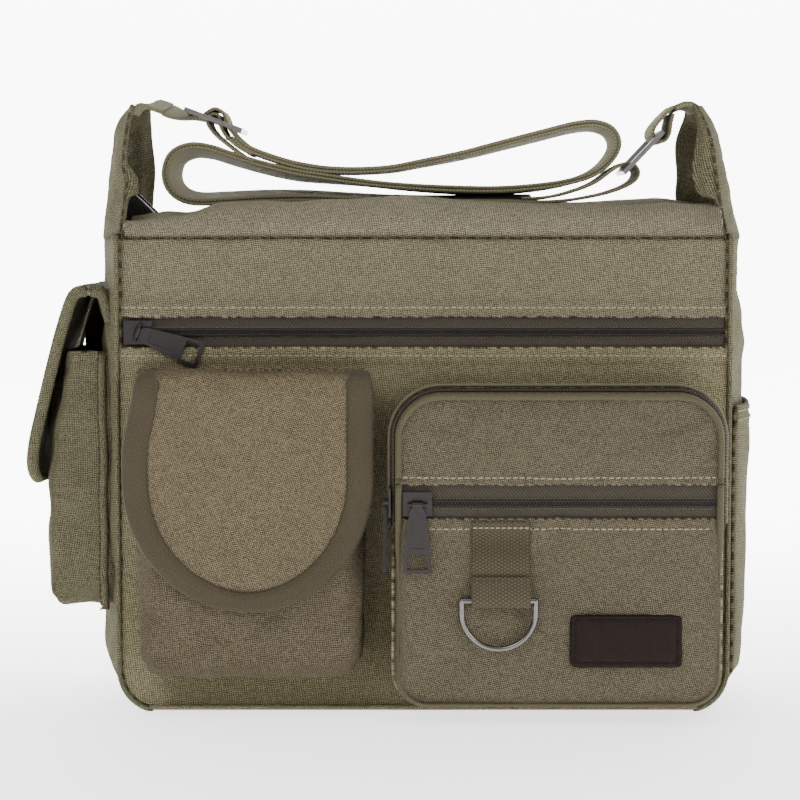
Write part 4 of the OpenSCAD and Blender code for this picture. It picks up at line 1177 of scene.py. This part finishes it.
def flap_width(z):
    """Half width of the flap at a height: rounded at its top corners and a half circle at its end."""
    low = np.clip((FLAP_ROUND_Z - z) / FLAP_DROP, 0, 1)
    near_top = np.clip((z - (FLAP_TOP_Z - 10)) / 10, 0, 1)
    return FLAP_R * np.sqrt(1 - low ** 2) - 2.2 * near_top ** 2


def flap_lean(z):
    """How far the flap's left edge has drawn in towards its top."""
    return 5.5 * smooth_step(FLAP_TOP_Z - 42, FLAP_TOP_Z - 4, z)


def bend_with_flap(obj):
    """Bakes the place of cloth that runs from the top of the flap over its fold to the hanging part into its
    mesh.
    """
    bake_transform(obj)


def phone_flap():
    """Flap of the flap pocket in one sheet over its fold, with its seam, its tape and its stitches."""
    top_y = np.linspace(-64.0, -86.0, 12)
    fold_angle = np.linspace(0, math.pi / 2, 8)[1:-1]
    fold_y = -86.0 - 4.6 * np.sin(fold_angle)
    fold_z = FLAP_TOP_Z - 4.6 * (1 - np.cos(fold_angle))
    drop = np.linspace(FLAP_TOP_Z - 5.2, FLAP_ROUND_Z, 24)
    turn = np.linspace(0, math.pi / 2 * 0.985, 28)[1:]
    round_z = FLAP_ROUND_Z - FLAP_DROP * np.sin(turn)
    z_line = np.concatenate([np.full(12, FLAP_TOP_Z), fold_z, drop, round_z])
    y_line = np.concatenate([top_y, fold_y, np.zeros(len(drop) + len(round_z))])
    n = len(z_line)
    s, k = grid(np.linspace(-1, 1, 70), np.arange(n))
    z = z_line[k].astype(float)
    half = flap_width(np.minimum(z, FLAP_TOP_Z - 1.5))
    half = np.where(k < 12, FLAP_R - 2.4 - 0.8 * (k < 6), half) - 0.8
    x = FLAP_X + s * half + flap_lean(z) * np.clip(-s, 0, 1)
    on_front = k >= 12 + len(fold_z)
    y = np.where(on_front, flap_front_y(x, z), y_line[k])
    puff = 0.9 * (1 - s ** 2) + 0.5 * ripple(x, y_line[k], 102, 40)
    rise, fall = puff * smooth_step(-1, 6, k), 1.6 * smooth_step(0.8, 1, abs(s)) ** 2
    z = z + np.where(on_front, 0, rise) - np.where(on_front, 0, fall)
    surface = points(x, y, z)
    along = run_length(surface[25:45], 1)
    shade = 0.5 * smooth_step(0.93, 1, abs(s)) + 0.25 * bell(along[k], 26, 4)
    obj = shell("phone_flap_cloth", surface, 2.2, CANVAS_FLAP, UP + FRONT, uv=pair(x, -along[k]), shade=shade)
    piece(obj, None, "canvas", "phone_flap_top", "phone_flap_front")
    bend_with_flap(obj)
    x, v = grid(np.linspace(FLAP_X - FLAP_R + 5, FLAP_X + FLAP_R - 5, 60), np.linspace(-56.6, -65.0, 8))
    crown = 0.9 * (1 - ((x - FLAP_X) / FLAP_R) ** 2) * smooth_step(-58, -65, v)
    z = FLAP_TOP_Z + 0.6 * bell(v, -60.5, 2.5) + crown - 1.2 * bell(v, -56.6, 1.5)
    shade = 0.8 * bell(v, -57, 1.5)
    seam = shell("phone_flap_seam_cloth", points(x, v, z), 2.2, CANVAS_FLAP, UP, uv=pair(x, v), shade=shade)
    piece(seam, None, "canvas", "phone_flap_seam")
    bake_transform(seam)
    tape = flap_binding()
    angles = np.linspace(math.pi, 2 * math.pi, 90)
    radius = FLAP_R - 12.4
    drop = FLAP_DROP - 10.2
    leg_down, leg_up = np.linspace(163, FLAP_ROUND_Z + 1, 16), np.linspace(FLAP_ROUND_Z + 1, 163, 16)
    left_x, right_x = np.full(16, FLAP_X - radius), np.full(16, FLAP_X + radius)
    inner_x = np.concatenate([left_x, FLAP_X + radius * np.cos(angles), right_x])
    inner_z = np.concatenate([leg_down, FLAP_ROUND_Z + drop * np.sin(angles), leg_up])
    row = points(inner_x, flap_front_y(inner_x, inner_z) - 0.2, inner_z)
    sew("flap_front", row, FRONT, pitch=2.6, length=1.9, thread="dark")


# The tape's section, from its inner edge in front round the flap's edge to its inner edge behind. Each step
# has a distance (beyond the tape's width in the first four, from the flap's edge in the others) and a height
# over the flap's face.
TAPE_STEPS = [
    (0.0, 0.25), (-0.6, 1.0), (-4.2, 1.15), (-8.0, 1.1), (1.2, 1.0), (0.1, 0.3), (-0.45, -1.1), (0.1, -2.7),
    (1.2, -3.4), (5.0, -3.4), (9.0, -3.3)]
STEPS_FROM_WIDTH = 4


def flap_binding():
    """Herringbone tape folded over the flap's edge: down one side, round the end and up again."""
    top_y = np.linspace(-67, -85.5, 8)
    fold = np.linspace(math.pi / 2, 0, 7)[1:-1]
    straight = np.linspace(FLAP_TOP_Z - 6, FLAP_ROUND_Z, 26)
    angles = np.linspace(math.pi, 2 * math.pi, 100)[1:-1]
    leg_y = np.concatenate([top_y, -85.5 - 4.5 * np.cos(fold), np.zeros(26)])
    tape_top = FLAP_TOP_Z - 0.9
    leg_z = np.concatenate([np.full(8, tape_top), tape_top - 4.6 * (1 - np.sin(fold)), straight])
    leg_x = flap_width(leg_z)
    leg_tilt = np.concatenate([np.full(8, math.pi / 2), fold, np.zeros(26)])
    left_x = FLAP_X - leg_x + flap_lean(leg_z)
    x = np.concatenate([left_x, FLAP_X + FLAP_R * np.cos(angles), FLAP_X + leg_x[::-1]])
    z = np.concatenate([leg_z, FLAP_ROUND_Z + FLAP_DROP * np.sin(angles), leg_z[::-1]])
    tilt = np.concatenate([leg_tilt, np.zeros(98), leg_tilt[::-1]])
    fixed_y = np.concatenate([leg_y, np.zeros(98), leg_y[::-1]])
    on_front = fixed_y == 0
    outline = pair(x, z)
    direction = unit(np.gradient(outline, axis=0))
    inward = pair(-direction[:, 1], direction[:, 0])
    side_way = pair(np.sign(FLAP_X - x), np.zeros(len(x)))
    inward = np.where(on_front[:, None], inward, side_way)
    width = 12.2 - 2.4 * bell(x, FLAP_X, 34) * smooth_step(100, 80, z)
    n, m = len(outline), len(TAPE_STEPS)
    surface = np.empty((n, m, 3))
    across = np.empty((n, m))
    for j, (distance, lift) in enumerate(TAPE_STEPS):
        inset = width + distance if j < STEPS_FROM_WIDTH else np.full(n, distance)
        place = outline + inward * inset[:, None]
        seen = outline + inward * np.maximum(inset, 0)[:, None]
        y = np.where(on_front, flap_front_y(seen[:, 0], seen[:, 1]), fixed_y)
        surface[:, j] = points(place[:, 0], y - lift * np.cos(tilt), place[:, 1] + lift * np.sin(tilt))
        across[:, j] = inset - 6 if lift > 0 else -6 - inset
    steps_along = np.linalg.norm(np.diff(surface[:, 3], axis=0), axis=1)
    along = np.concatenate([[0], np.cumsum(steps_along)])
    uv = pair(np.broadcast_to(along[:, None], (n, m)), across)
    j = np.arange(m)[None]
    shade = 0.55 * (j == 0) + 0.12 * (j == 1) + 0.25 * (j >= 5) + np.zeros((n, m))
    obj = shell("phone_flap_binding_tape", surface, 0.5, BINDING, FRONT + 0.3 * UP, uv=uv, shade=shade)
    piece(obj, None, "webbing", "phone_flap_binding")
    bend_with_flap(obj)
    return obj


# ---------- organiser ----------

ORG_X0, ORG_X1 = mm_box("organiser_body")[0][0], mm_box("organiser_body")[1][0]
ORG_Z0, ORG_Z1 = mm_box("organiser_body")[0][2], mm_box("organiser_body")[1][2]
ORG_FRONT = mm_box("organiser_lid")[0][1]
ORG_TOP_R, ORG_LOW_R = 22.0, 16.0
LID_Z = 119.0
FACE_LOW = 100.0
U_ZIP_Y = -88.0
ORG_CENTRE = (ORG_X0 + ORG_X1) / 2
ORG_HALF = (ORG_X1 - ORG_X0) / 2


def organiser_outline(offset, z_from, step=2.5):
    """The organiser's outline, offset outward, from its left side over the top to its right side."""
    x0, x1 = ORG_X0 - offset, ORG_X1 + offset
    radius = ORG_TOP_R + offset
    centre_z = ORG_Z1 + offset - radius
    angles = np.linspace(math.pi, math.pi / 2, 16)
    corner_left = pair(x0 + radius + radius * np.cos(angles), centre_z + radius * np.sin(angles))
    angles = angles[::-1]
    corner_right = pair(x1 - radius - radius * np.cos(angles), centre_z + radius * np.sin(angles))
    line = np.concatenate([[[x0, z_from]], corner_left, corner_right, [[x1, z_from]]])
    return even_points(points(line[:, 0], 0.0, line[:, 1]), step)


def organiser_ring(offset):
    """The whole outline as a closed line, offset outward."""
    x0, x1 = ORG_X0 - offset, ORG_X1 + offset
    z0, z1 = ORG_Z0 - offset, ORG_Z1 + offset
    low_r, top_r = ORG_LOW_R + offset, ORG_TOP_R + offset
    quarter = np.linspace(0, math.pi / 2, 14)
    corners = (
        (x0 + low_r, z0 + low_r, low_r, math.pi), (x1 - low_r, z0 + low_r, low_r, 1.5 * math.pi),
        (x1 - top_r, z1 - top_r, top_r, 0), (x0 + top_r, z1 - top_r, top_r, 0.5 * math.pi))
    parts = []
    for cx, cz, r, start in corners:
        parts.append(pair(cx + r * np.cos(start + quarter), cz + r * np.sin(start + quarter)))
    line = np.concatenate(parts + [parts[0][:1]])
    return even_points(points(line[:, 0], 0.0, line[:, 1]), 2.2)


def organiser_walls():
    """Rear wall of the organiser all round: it flares to the bound edge of its zip and folds softly."""
    base_line = organiser_ring(0)
    n = len(base_line)
    centre = points(ORG_CENTRE, 0.0, (ORG_Z0 + ORG_Z1) / 2)
    tangent = unit(np.roll(base_line[:-1], -1, axis=0) - np.roll(base_line[:-1], 1, axis=0))
    tangent = np.concatenate([tangent, tangent[:1]])
    outward = np.stack([tangent[:, 2], np.zeros(n), -tangent[:, 0]], -1)
    outward = outward * np.sign((outward * (base_line - centre)).sum(axis=1, keepdims=True))
    depth = np.array([0.2, 2, 5, 9, 13, 17, 20, 22.5, 24.2, 25.4])
    k, j = grid(np.arange(n), np.arange(len(depth)))
    share = depth[j] / 25.4
    upper = smooth_step(92, 104, base_line[k][..., 2])
    flare = 0.4 + 2.4 * np.sin(share * math.pi * 0.62) * upper + 1.2 * share * (1 - upper)
    wave = 0.5 * ripple(k * 2.2, depth[j], 111, 30) * np.sin(share * math.pi)
    surface = base_line[k] + outward[k] * (flare + wave)[..., None]
    surface[..., 1] = PANEL_Y + 0.3 - depth[j]
    shade = 0.9 * bell(depth[j], 0, 2)
    obj = shell("organiser_wall_cloth", surface, 1.8, CANVAS_LOW, outward[k], shade=shade)
    piece(obj, "bag", "canvas", "organiser_body")
    edge = organiser_outline(2.7, 97.0)
    edge[:, 1] = PANEL_Y + 0.3 - 25.6
    bound = sweep("organiser_edge_binding", edge, oval_section(1.3, 0.9, 10), EDGE_BINDING, BACK)
    piece(bound, "bag", "webbing")


def organiser_front():
    """Lower face with its sides and floor, from a net that swells between its seams."""
    height = FACE_LOW + 0.6 - ORG_Z0
    depth_from = 24.0
    full = -(ORG_FRONT - PANEL_Y) - depth_from

    def depth(up):
        return full - 0.4 - 1.6 * bell(up, 0, 14)

    local, uv, m = tray(ORG_HALF - 0.2, height, depth, ORG_LOW_R, 5.5, (64, 40), puff=0.4)
    flat = points(ORG_CENTRE + local[..., 0], PANEL_Y - depth_from - local[..., 2], ORG_Z0 + local[..., 1])
    swollen = settle(flat, open_rim(m), FRONT, 0.014, 1.6, 2.4, 0.8)
    free = 1 - 0.9 * smooth_step(50, 72, flat[..., 2:]) * (m < 0.75)[..., None]
    world = flat + (swollen - flat) * free
    x, z = world[..., 0].copy(), world[..., 2].copy()
    distance = height - local[..., 1]
    face = m < 0.72
    world[..., 1] -= np.where(face, hem(distance, x, 4.6, 7.0, 0.3), 0)
    wrinkle = 0.55 * ripple(x, z, 121, 36) + 0.25 * ripple(x, z, 122, 13)
    fade = (0.25 + 0.75 * smooth_step(75, 55, z)) * smooth_step(0, 14, distance)
    world[..., 1] -= wrinkle * fade * face * smooth_step(0.72, 0.6, m)
    shade = 0.5 * bell(m, 1, 0.04) + 0.2 * bell(local[..., 1], 0, 6) + 0.15 * bell(m, 0.72, 0.02)
    obj = shell("organiser_lower_cloth", world, 1.8, CANVAS_FACE, FRONT, uv=uv, shade=shade)
    piece(obj, "bag", "canvas", "organiser_face")
    row = int(np.argmin(abs(distance[30] - 4.6)))
    inner = np.abs(m[:, -1]) < 0.7
    sew("bag", world[inner, row], FRONT, lift=0.05)
    return world, local, m


def organiser_lid():
    """Upper face: a shallow tray, open along its hem, inside the piping."""
    z0 = LID_Z - 1.2
    height = ORG_Z1 - z0
    local, uv, m = tray(ORG_HALF - 0.2, height, 2.8, ORG_TOP_R, 2.4, (64, 30), rings=(4, 5), puff=1.6)
    up = height - local[..., 1]
    flat = points(ORG_CENTRE + local[..., 0], -94.6 - local[..., 2], z0 + up)
    swollen = settle(flat, open_rim(m), FRONT, 0.012, 1.4, 2.0, 0.6)
    world = flat + (swollen - flat) * smooth_step(0.74, 0.66, m)[..., None]
    x, z = world[..., 0].copy(), world[..., 2].copy()
    face = m < 0.72
    world[..., 1] -= np.where(face, hem(up, x, 3.0, 5.0, 0.6), 0)
    wrinkle = 0.45 * ripple(x, z, 131, 34)
    world[..., 1] -= wrinkle * smooth_step(0, 10, up) * face * smooth_step(0.72, 0.6, m)
    shade = 0.45 * bell(m, 0.70, 0.03) + 0.5 * (m > 0.8)
    uv = uv * np.array([1, -1.0])
    obj = shell("organiser_lid_cloth", world, 1.8, CANVAS_FACE, FRONT, uv=uv, shade=shade)
    piece(obj, "lid", "canvas", "organiser_lid")
    row = int(np.argmin(abs(up[32] - 3.0)))
    inner = np.abs(m[:, -1]) < 0.7
    sew("lid", world[inner, row], FRONT, lift=0.05)


def organiser_trim():
    """Piping round the face and the lid, the teeth of the U-shaped zip, and the divider inside."""
    def piping(name, line, body, node, size=1.0):
        n = len(line)
        line = line + points(0.0, 0.25 * ripple(np.arange(n) * 2.5, 0 * line[:, 0], 141, 40), 0.0)
        obj = sweep(name, line, oval_section(1.9, 1.6, 14), PIPING, BACK, scale=size)
        return piece(obj, body, "webbing", node)

    ring = organiser_ring(-1.9)
    upper = organiser_outline(-1.9, LID_Z + 1.6)
    upper[:, 1] = -97.2
    piping("organiser_lid_piping_cord", upper, "lid", "organiser_lid_piping")
    low = [p for p in ring if p[2] < LID_Z - 1.4]
    low = np.array(sorted(low, key=lambda p: math.atan2(p[0] - ORG_CENTRE, -(p[2] - LID_Z))))
    low[:, 1] = -96.4 + 1.6 * smooth_step(100, 92, low[:, 2])
    low = even_points(low, 2.5)
    size = 0.42 + 0.58 * smooth_step(74, 88, low[:, 2])
    piping("organiser_piping_cord", low, "bag", "organiser_piping", size)
    coil_line = organiser_outline(1.2, 97.0, step=1.0)
    coil_line[:, 1] = U_ZIP_Y
    zip_teeth("organiser_zip_teeth", "bag", coil_line, FRONT, reach=2.0, height=0.8)
    low, high = mm_box("organiser_divider")
    x, z = grid(np.linspace(low[0] + 1, high[0] - 1, 60), np.linspace(low[2] + 1, high[2], 40))
    below = np.clip(ORG_LOW_R + ORG_Z0 - z, 0, ORG_LOW_R)
    inset = np.where(z < 30, ORG_LOW_R - np.sqrt(np.clip(ORG_LOW_R ** 2 - below ** 2, 0, None)), 0)
    x = ORG_CENTRE + (x - ORG_CENTRE) * (1 - inset / ORG_HALF)
    y = high[1] - 0.2 + 0.25 * ripple(x, z, 142, 50)
    divider = shell("organiser_divider_cloth", points(x, y, z), 0.6, LINING, FRONT)
    piece(divider, "bag", "lining", "organiser_divider")


def d_ring_tab():
    """Webbing tab: sewn at its top, folded round the ring's bar and turned up in front."""
    low, high = mm_box("d_ring_tab")
    width = high[0] - low[0] + 0.4
    bar_y, bar_z = -100.6, 62.0
    r = 2.55
    angles = np.linspace(0.5 * math.pi * 0.1, -math.pi, 12)
    loop = [[bar_y + r * math.cos(a), bar_z + r * math.sin(a)] for a in angles]
    down = [[-98.1, 99.8], [-98.15, 92], [-98.15, 84], [-98.1, 76], [-98.0, 69]]
    route = np.array(down + loop + [[-102.6, 66], [-101.0, 69.5], [-99.6, 73.4]])
    line = curve_through(points(36.5, route[:, 0], route[:, 1]), 1.2)
    n = len(line)
    shade = 0.5 * bell(np.arange(n) / n, 0.22, 0.12) + 0.25 * bell(np.arange(n) / n, 0.6, 0.1)
    tab = sweep("d_ring_tab_webbing", line, flat_section(width, 1.4, 9), TAB, RIGHT, shade=shade)
    piece(tab, "bag", "webbing", "d_ring_tab")
    x = np.linspace(low[0] + 1.5, high[0] - 1.5, 30)
    sew("bag", points(x, -98.8, 96.8), FRONT, pitch=2.8, length=2.0, lift=0.1)
    sew("bag", points(x, -100.6, 71.6), FRONT, pitch=2.8, length=2.0, lift=0.35, thread="dark")


def leather_patch():
    """Blank leather patch: round corners, a pressed line and a stitched border."""
    low, high = mm_box("leather_patch")
    half = np.array([(high[0] - low[0]) / 2, (high[2] - low[2]) / 2])
    centre = np.array([(high[0] + low[0]) / 2, (high[2] + low[2]) / 2])
    p, q = grid(np.linspace(-1, 1, 60), np.linspace(-1, 1, 36))
    m = np.maximum(abs(p), abs(q))
    safe = np.maximum(m, 1e-6)
    border = pair(p / safe, q / safe) * half
    core = np.clip(border, -(half - 4.4), half - 4.4)
    outline = core + 4.4 * unit(border - core)
    place = outline * m[..., None]
    edge = np.minimum(half[0] - abs(place[..., 0]), half[1] - abs(place[..., 1]))
    rise = 1.5 * smooth_step(-0.2, 1.0, edge) - 0.5 * bell(edge, 2.3, 0.7) + 0.25 * smooth_step(3, 8, edge)
    surface = points(centre[0] + place[..., 0], high[1] - 0.7 - rise, centre[1] + place[..., 1])
    patch = shell("leather_patch_leather", surface, 1.2, LEATHER, FRONT)
    piece(patch, "bag", "leather", "leather_patch")
    inset = half - 2.3
    angles = np.linspace(0, 2 * math.pi, 200)
    square = pair(np.cos(angles), np.sin(angles))
    square = square / np.maximum(abs(square[:, :1]), abs(square[:, 1:])) * inset
    core = np.clip(square, -(inset - 2), inset - 2)
    line = core + 2 * unit(square - core)
    border = points(centre[0] + line[:, 0], high[1] - 1.9, centre[1] + line[:, 1])
    sew("bag", border, FRONT, pitch=2.0, length=1.3, thread="patch")


# ---------- strap ----------

STRAP_W = 38.0
STRAP_T = 1.7
STRAP_RUN = [
    [-96, 285], [-88, 279], [-78, 275], [-64, 271], [-48, 268.5], [-32, 268], [-16, 269], [0, 272],
    [20, 276], [40, 281], [60, 286], [76, 290], [87, 291], [95, 288], [98, 281], [94, 273], [85, 266],
    [70, 261.5], [52, 259], [34, 258], [12, 258.5], [-10, 260], [-30, 262], [-48, 264], [-64, 266],
    [-80, 269.5], [-96, 274], [-107, 277.5], [-117, 278.5], [-125, 275], [-128, 268], [-127, 261],
    [-122, 256], [-114, 254], [-101, 254.5], [-80, 255.5], [-59, 255.5], [-38, 254.5], [-16, 253.5],
    [10, 253], [34, 253], [56, 253]]
STRAP_RING_LOOP = [
    [50, 252.1], [58, 252.1], [73, 253], [90, 256], [101, 259.5], [107, 263], [109, 267], [106.5, 271],
    [102, 271.5], [96, 268.5], [86, 261.5], [72, 256.5], [60, 254.2], [50, 253.9]]
STRAP_LEFT = [
    [-130, 299], [-124, 296.5], [-118, 294.8], [-112, 294.5], [-108.5, 297.2], [-104.5, 299],
    [-100.5, 296.5], [-98, 290], [-94, 284.8], [-88, 280]]
STRAP_TAIL = [
    [-86, 276], [-93, 279.8], [-99.3, 285.5], [-102.2, 291.2], [-102.6, 294.8], [-105.2, 296.4],
    [-108, 294.7], [-108.4, 291.5], [-104.8, 286.3], [-98, 280.5], [-91, 275.5], [-85, 272.8]]
ANCHOR_ROUTE = [[-147, 296.5], [-144.5, 300], [-140.5, 301.6], [-136, 301.6], [-130, 299.6]]
RING_TAB_ROUTE = [
    [126.3, 300], [121.5, 295.5], [117, 290], [116, 286], [118.5, 283], [122, 283], [124.3, 286.5],
    [125, 291.5], [126.2, 296.5]]
RING_ANCHOR_ROUTE = [[127.2, 299], [131.5, 301], [136, 300.8], [139.5, 298]]


def offset_route(line, distance):
    """A line that runs beside another in the plane of X and Z."""
    direction = unit(np.gradient(line, axis=0))
    return line + distance * np.stack([-direction[:, 2], np.zeros(len(line)), direction[:, 0]], -1)


def strap():
    """The folded shoulder strap and the tabs that hold it on the horns."""
    section = flat_section(STRAP_W, STRAP_T)
    run = curve_through(in_xz(STRAP_RUN), 2.2)
    n = len(run)
    place = np.arange(n) / n
    along = np.arange(n) * 2.2
    roll = 0.085 * smooth_step(0.52, 0.60, place) - 0.03 * bell(place, 0.2, 0.15)
    roll = roll + 0.02 * ripple(along, 0 * place, 151, 160, 4)
    layers = []
    for index, gap in enumerate((-0.93, 0.93)):
        wobble = 0.10 * ripple(along, 0 * place, 152 + index, 60, 5)
        line = offset_route(run, gap) + UP * wobble[:, None]
        layers.append(sweep("shoulder_strap_webbing", line, section, STRAP, FRONT, roll=roll))
    for route in (STRAP_RING_LOOP, STRAP_LEFT, STRAP_TAIL):
        line = curve_through(in_xz(route), 1.6)
        twist = 0.17 * smooth_step(-110, -129, line[:, 0]) if route is STRAP_LEFT else 0.0
        layers.append(sweep("strap_part", line, section, STRAP, FRONT, roll=twist))
    webbing = join(*layers)
    piece(webbing, "strap", "webbing", "shoulder_strap")
    tab = sweep("ring_tab_webbing", curve_through(in_xz(RING_TAB_ROUTE), 1.4), section, STRAP, FRONT)
    piece(tab, "strap", "webbing", "ring_tab")
    line = curve_through(in_xz(ANCHOR_ROUTE), 1.6)
    twist = 0.17 * smooth_step(-142.5, -136, line[:, 0])
    anchor = sweep("strap_anchor_webbing", line, section, STRAP, FRONT, roll=twist)
    piece(anchor, None, "webbing", "strap_anchor")
    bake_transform(anchor)
    line = curve_through(in_xz(RING_ANCHOR_ROUTE), 1.6)
    ring_anchor = sweep("ring_tab_anchor_webbing", line, flat_section(STRAP_W, 3.2), STRAP, FRONT)
    piece(ring_anchor, None, "webbing", "ring_tab_anchor")
    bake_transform(ring_anchor)
    for y in np.linspace(-17, 17, 12):
        row = in_xz([[-99.5, 282.8], [-88.5, 275.2]], y)
        sew("strap", row, UP * 0.8 + RIGHT * 0.5, pitch=2.6, length=1.7, lift=1.0)


# ---------- zips and CAD pieces that stay ----------


def coil_rows(x0, x1, y, z, outward):
    """The two rows of thread that hold a coil to its tapes."""
    for end in (-1, 1):
        row = points(np.linspace(x0, x1, 100), y, z + end * 2.25)
        sew("bag", row, outward, pitch=TOOTH_PITCH, length=1.15, thread="tape", lift=0.0)


def straight_zips():
    """Teeth of the three straight zips, and the rows of thread on the two that are seen."""
    for name, margin in (("front", 15), ("rear", None), ("face", 17)):
        low, high = mm_box(f"{name}_zip_coil")
        y, z = (low[1] + high[1]) / 2, (low[2] + high[2]) / 2
        zip_teeth(f"{name}_zip_teeth", "bag", points(np.linspace(low[0] + 1, high[0] - 1, 40), y, z), UP)
        if margin:
            tape_y = mm_box(f"{name}_zip_tapes")[0][1]
            coil_rows(low[0] + margin, high[0] - 1, tape_y - 0.3, z, FRONT)


CAD_MATERIALS = {
    "front_zip_tapes": TAPE, "rear_zip_tapes": TAPE, "face_zip_tapes": TAPE,
    "main_zip_front": TAPE, "main_zip_rear": TAPE,
    "organiser_zip_rear": ORGANISER_TAPE, "organiser_lid_zip": ORGANISER_TAPE,
    "front_zip_coil": TEETH, "rear_zip_coil": TEETH, "face_zip_coil": TEETH,
    "d_ring": NICKEL, "tri_glide": FITTING, "end_ring": FITTING,
    "front_pocket_bag": LINING, "rear_pocket_bag": LINING, "base_board": BOARD, "phone_touch_tape": HOOKS}


def finish_cad_nodes():
    """Materials for the CAD pieces that stay, and soft edges on the metal ones."""
    for name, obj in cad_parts.items():
        if obj.hide_render:
            continue
        hard = name.endswith(("_slider", "_puller"))
        material = GUNMETAL if hard else CAD_MATERIALS[name]
        obj.data.materials.clear()
        obj.data.materials.append(material)
        if hard or name in ("tri_glide", "end_ring"):
            bevel = obj.modifiers.new("soft edges", "BEVEL")
            bevel.width = 0.00045
            bevel.segments = 2
            bevel.angle_limit = math.radians(35)


# ---------- set ----------


def set_and_camera():
    """The near-white studio: a floor and backdrop that glow and light the bag, three area lamps and the
    camera of the photo.
    """
    g = Graph("floor")
    grain = g.noise(g.object_mm((1, 1, 1)), 0.02, 2)
    _, y, z = g.split(g.object_mm())
    # The floor and backdrop glow: dimmest in front of the bag, brightest behind it, and fading high up the
    # backdrop.
    beyond = g.math("DIVIDE", g.math("ADD", y, 60), 700, True)
    below = g.math("SUBTRACT", 1.0, g.math("DIVIDE", g.math("SUBTRACT", z, 700), 800, True))
    glow = g.math("ADD", g.math("MULTIPLY", g.math("MULTIPLY", beyond, below), 5.6), 1.8)
    g.links.new(glow, g.shader.inputs["Emission Strength"])
    g.finish(g.mix(grain, (0.84, 0.84, 0.84), (0.86, 0.86, 0.86)), 0.7, Emission_Color=(1, 1, 1, 1))
    x, t = grid(np.linspace(-6000, 6000, 3), np.linspace(0, 1, 40))
    angle = np.clip((t - 0.6) / 0.2, 0, 1) * math.pi / 2
    y = np.where(t < 0.6, -3000 + 7500 * t, 1500 + 900 * np.sin(angle))
    z = np.where(t < 0.6, 0, 900 * (1 - np.cos(angle))) + np.clip((t - 0.8) / 0.2, 0, 1) * 5000
    floor = shell("floor", points(x, y, z - 0.2), 2, g.material, UP + FRONT)
    world = bpy.data.worlds.new("studio")
    world.use_nodes = True
    tree = world.node_tree
    direction = tree.nodes.new("ShaderNodeTexCoord")
    height = tree.nodes.new("ShaderNodeSeparateXYZ")
    sky = tree.nodes.new("ShaderNodeValToRGB")
    tree.links.new(direction.outputs["Generated"], height.inputs[0])
    tree.links.new(height.outputs[2], sky.inputs[0])
    tree.links.new(sky.outputs[0], tree.nodes["Background"].inputs[0])
    sky.color_ramp.elements[0].color = (0.60, 0.60, 0.60, 1)
    sky.color_ramp.elements[1].position = 0.55
    sky.color_ramp.elements[1].color = (0.85, 0.85, 0.85, 1)
    tree.nodes["Background"].inputs[1].default_value = 0.8
    bpy.context.scene.world = world
    for name, location, target, size, power in (
            ("key", (-0.7, -1.4, 1.5), (0, 0, 0.15), 1.0, 17),
            ("fill", (1.3, -1.2, 0.7), (0, 0, 0.15), 0.8, 14),
            ("top", (0.1, 0.1, 1.8), (0, 0, 0.2), 1.2, 7)):
        light = bpy.data.lights.new(name, "AREA")
        light.size = size
        light.energy = power
        lamp = bpy.data.objects.new(name, light)
        lamp.location = location
        direction = bpy.context.scene.cursor.location.copy()
        direction.x, direction.y, direction.z = (target[k] - location[k] for k in range(3))
        lamp.rotation_euler = direction.to_track_quat("-Z", "Y").to_euler()
        bpy.context.scene.collection.objects.link(lamp)
    camera = bpy.data.cameras.new("camera")
    camera.lens = 105.6
    camera.clip_end = 30
    viewer = bpy.data.objects.new("camera", camera)
    viewer.location = (-0.0115, -1.207, 0.240)
    viewer.rotation_euler = (math.radians(90 - 4.24), 0, 0)
    bpy.context.scene.collection.objects.link(viewer)
    bpy.context.scene.camera = viewer


set_and_camera()
front_lower()
front_upper()
back_wall()
gusset(-1)
gusset(1)
base()
lining()
band(-1)
band(1)
main_zip()
horn(-1)
horn(1)
slip_pocket()
pouch()
pouch_flap()
phone_pocket()
phone_flap()
organiser_walls()
organiser_front()
organiser_lid()
organiser_trim()
d_ring_tab()
leather_patch()
strap()
straight_zips()
make_stitches()
finish_cad_nodes()
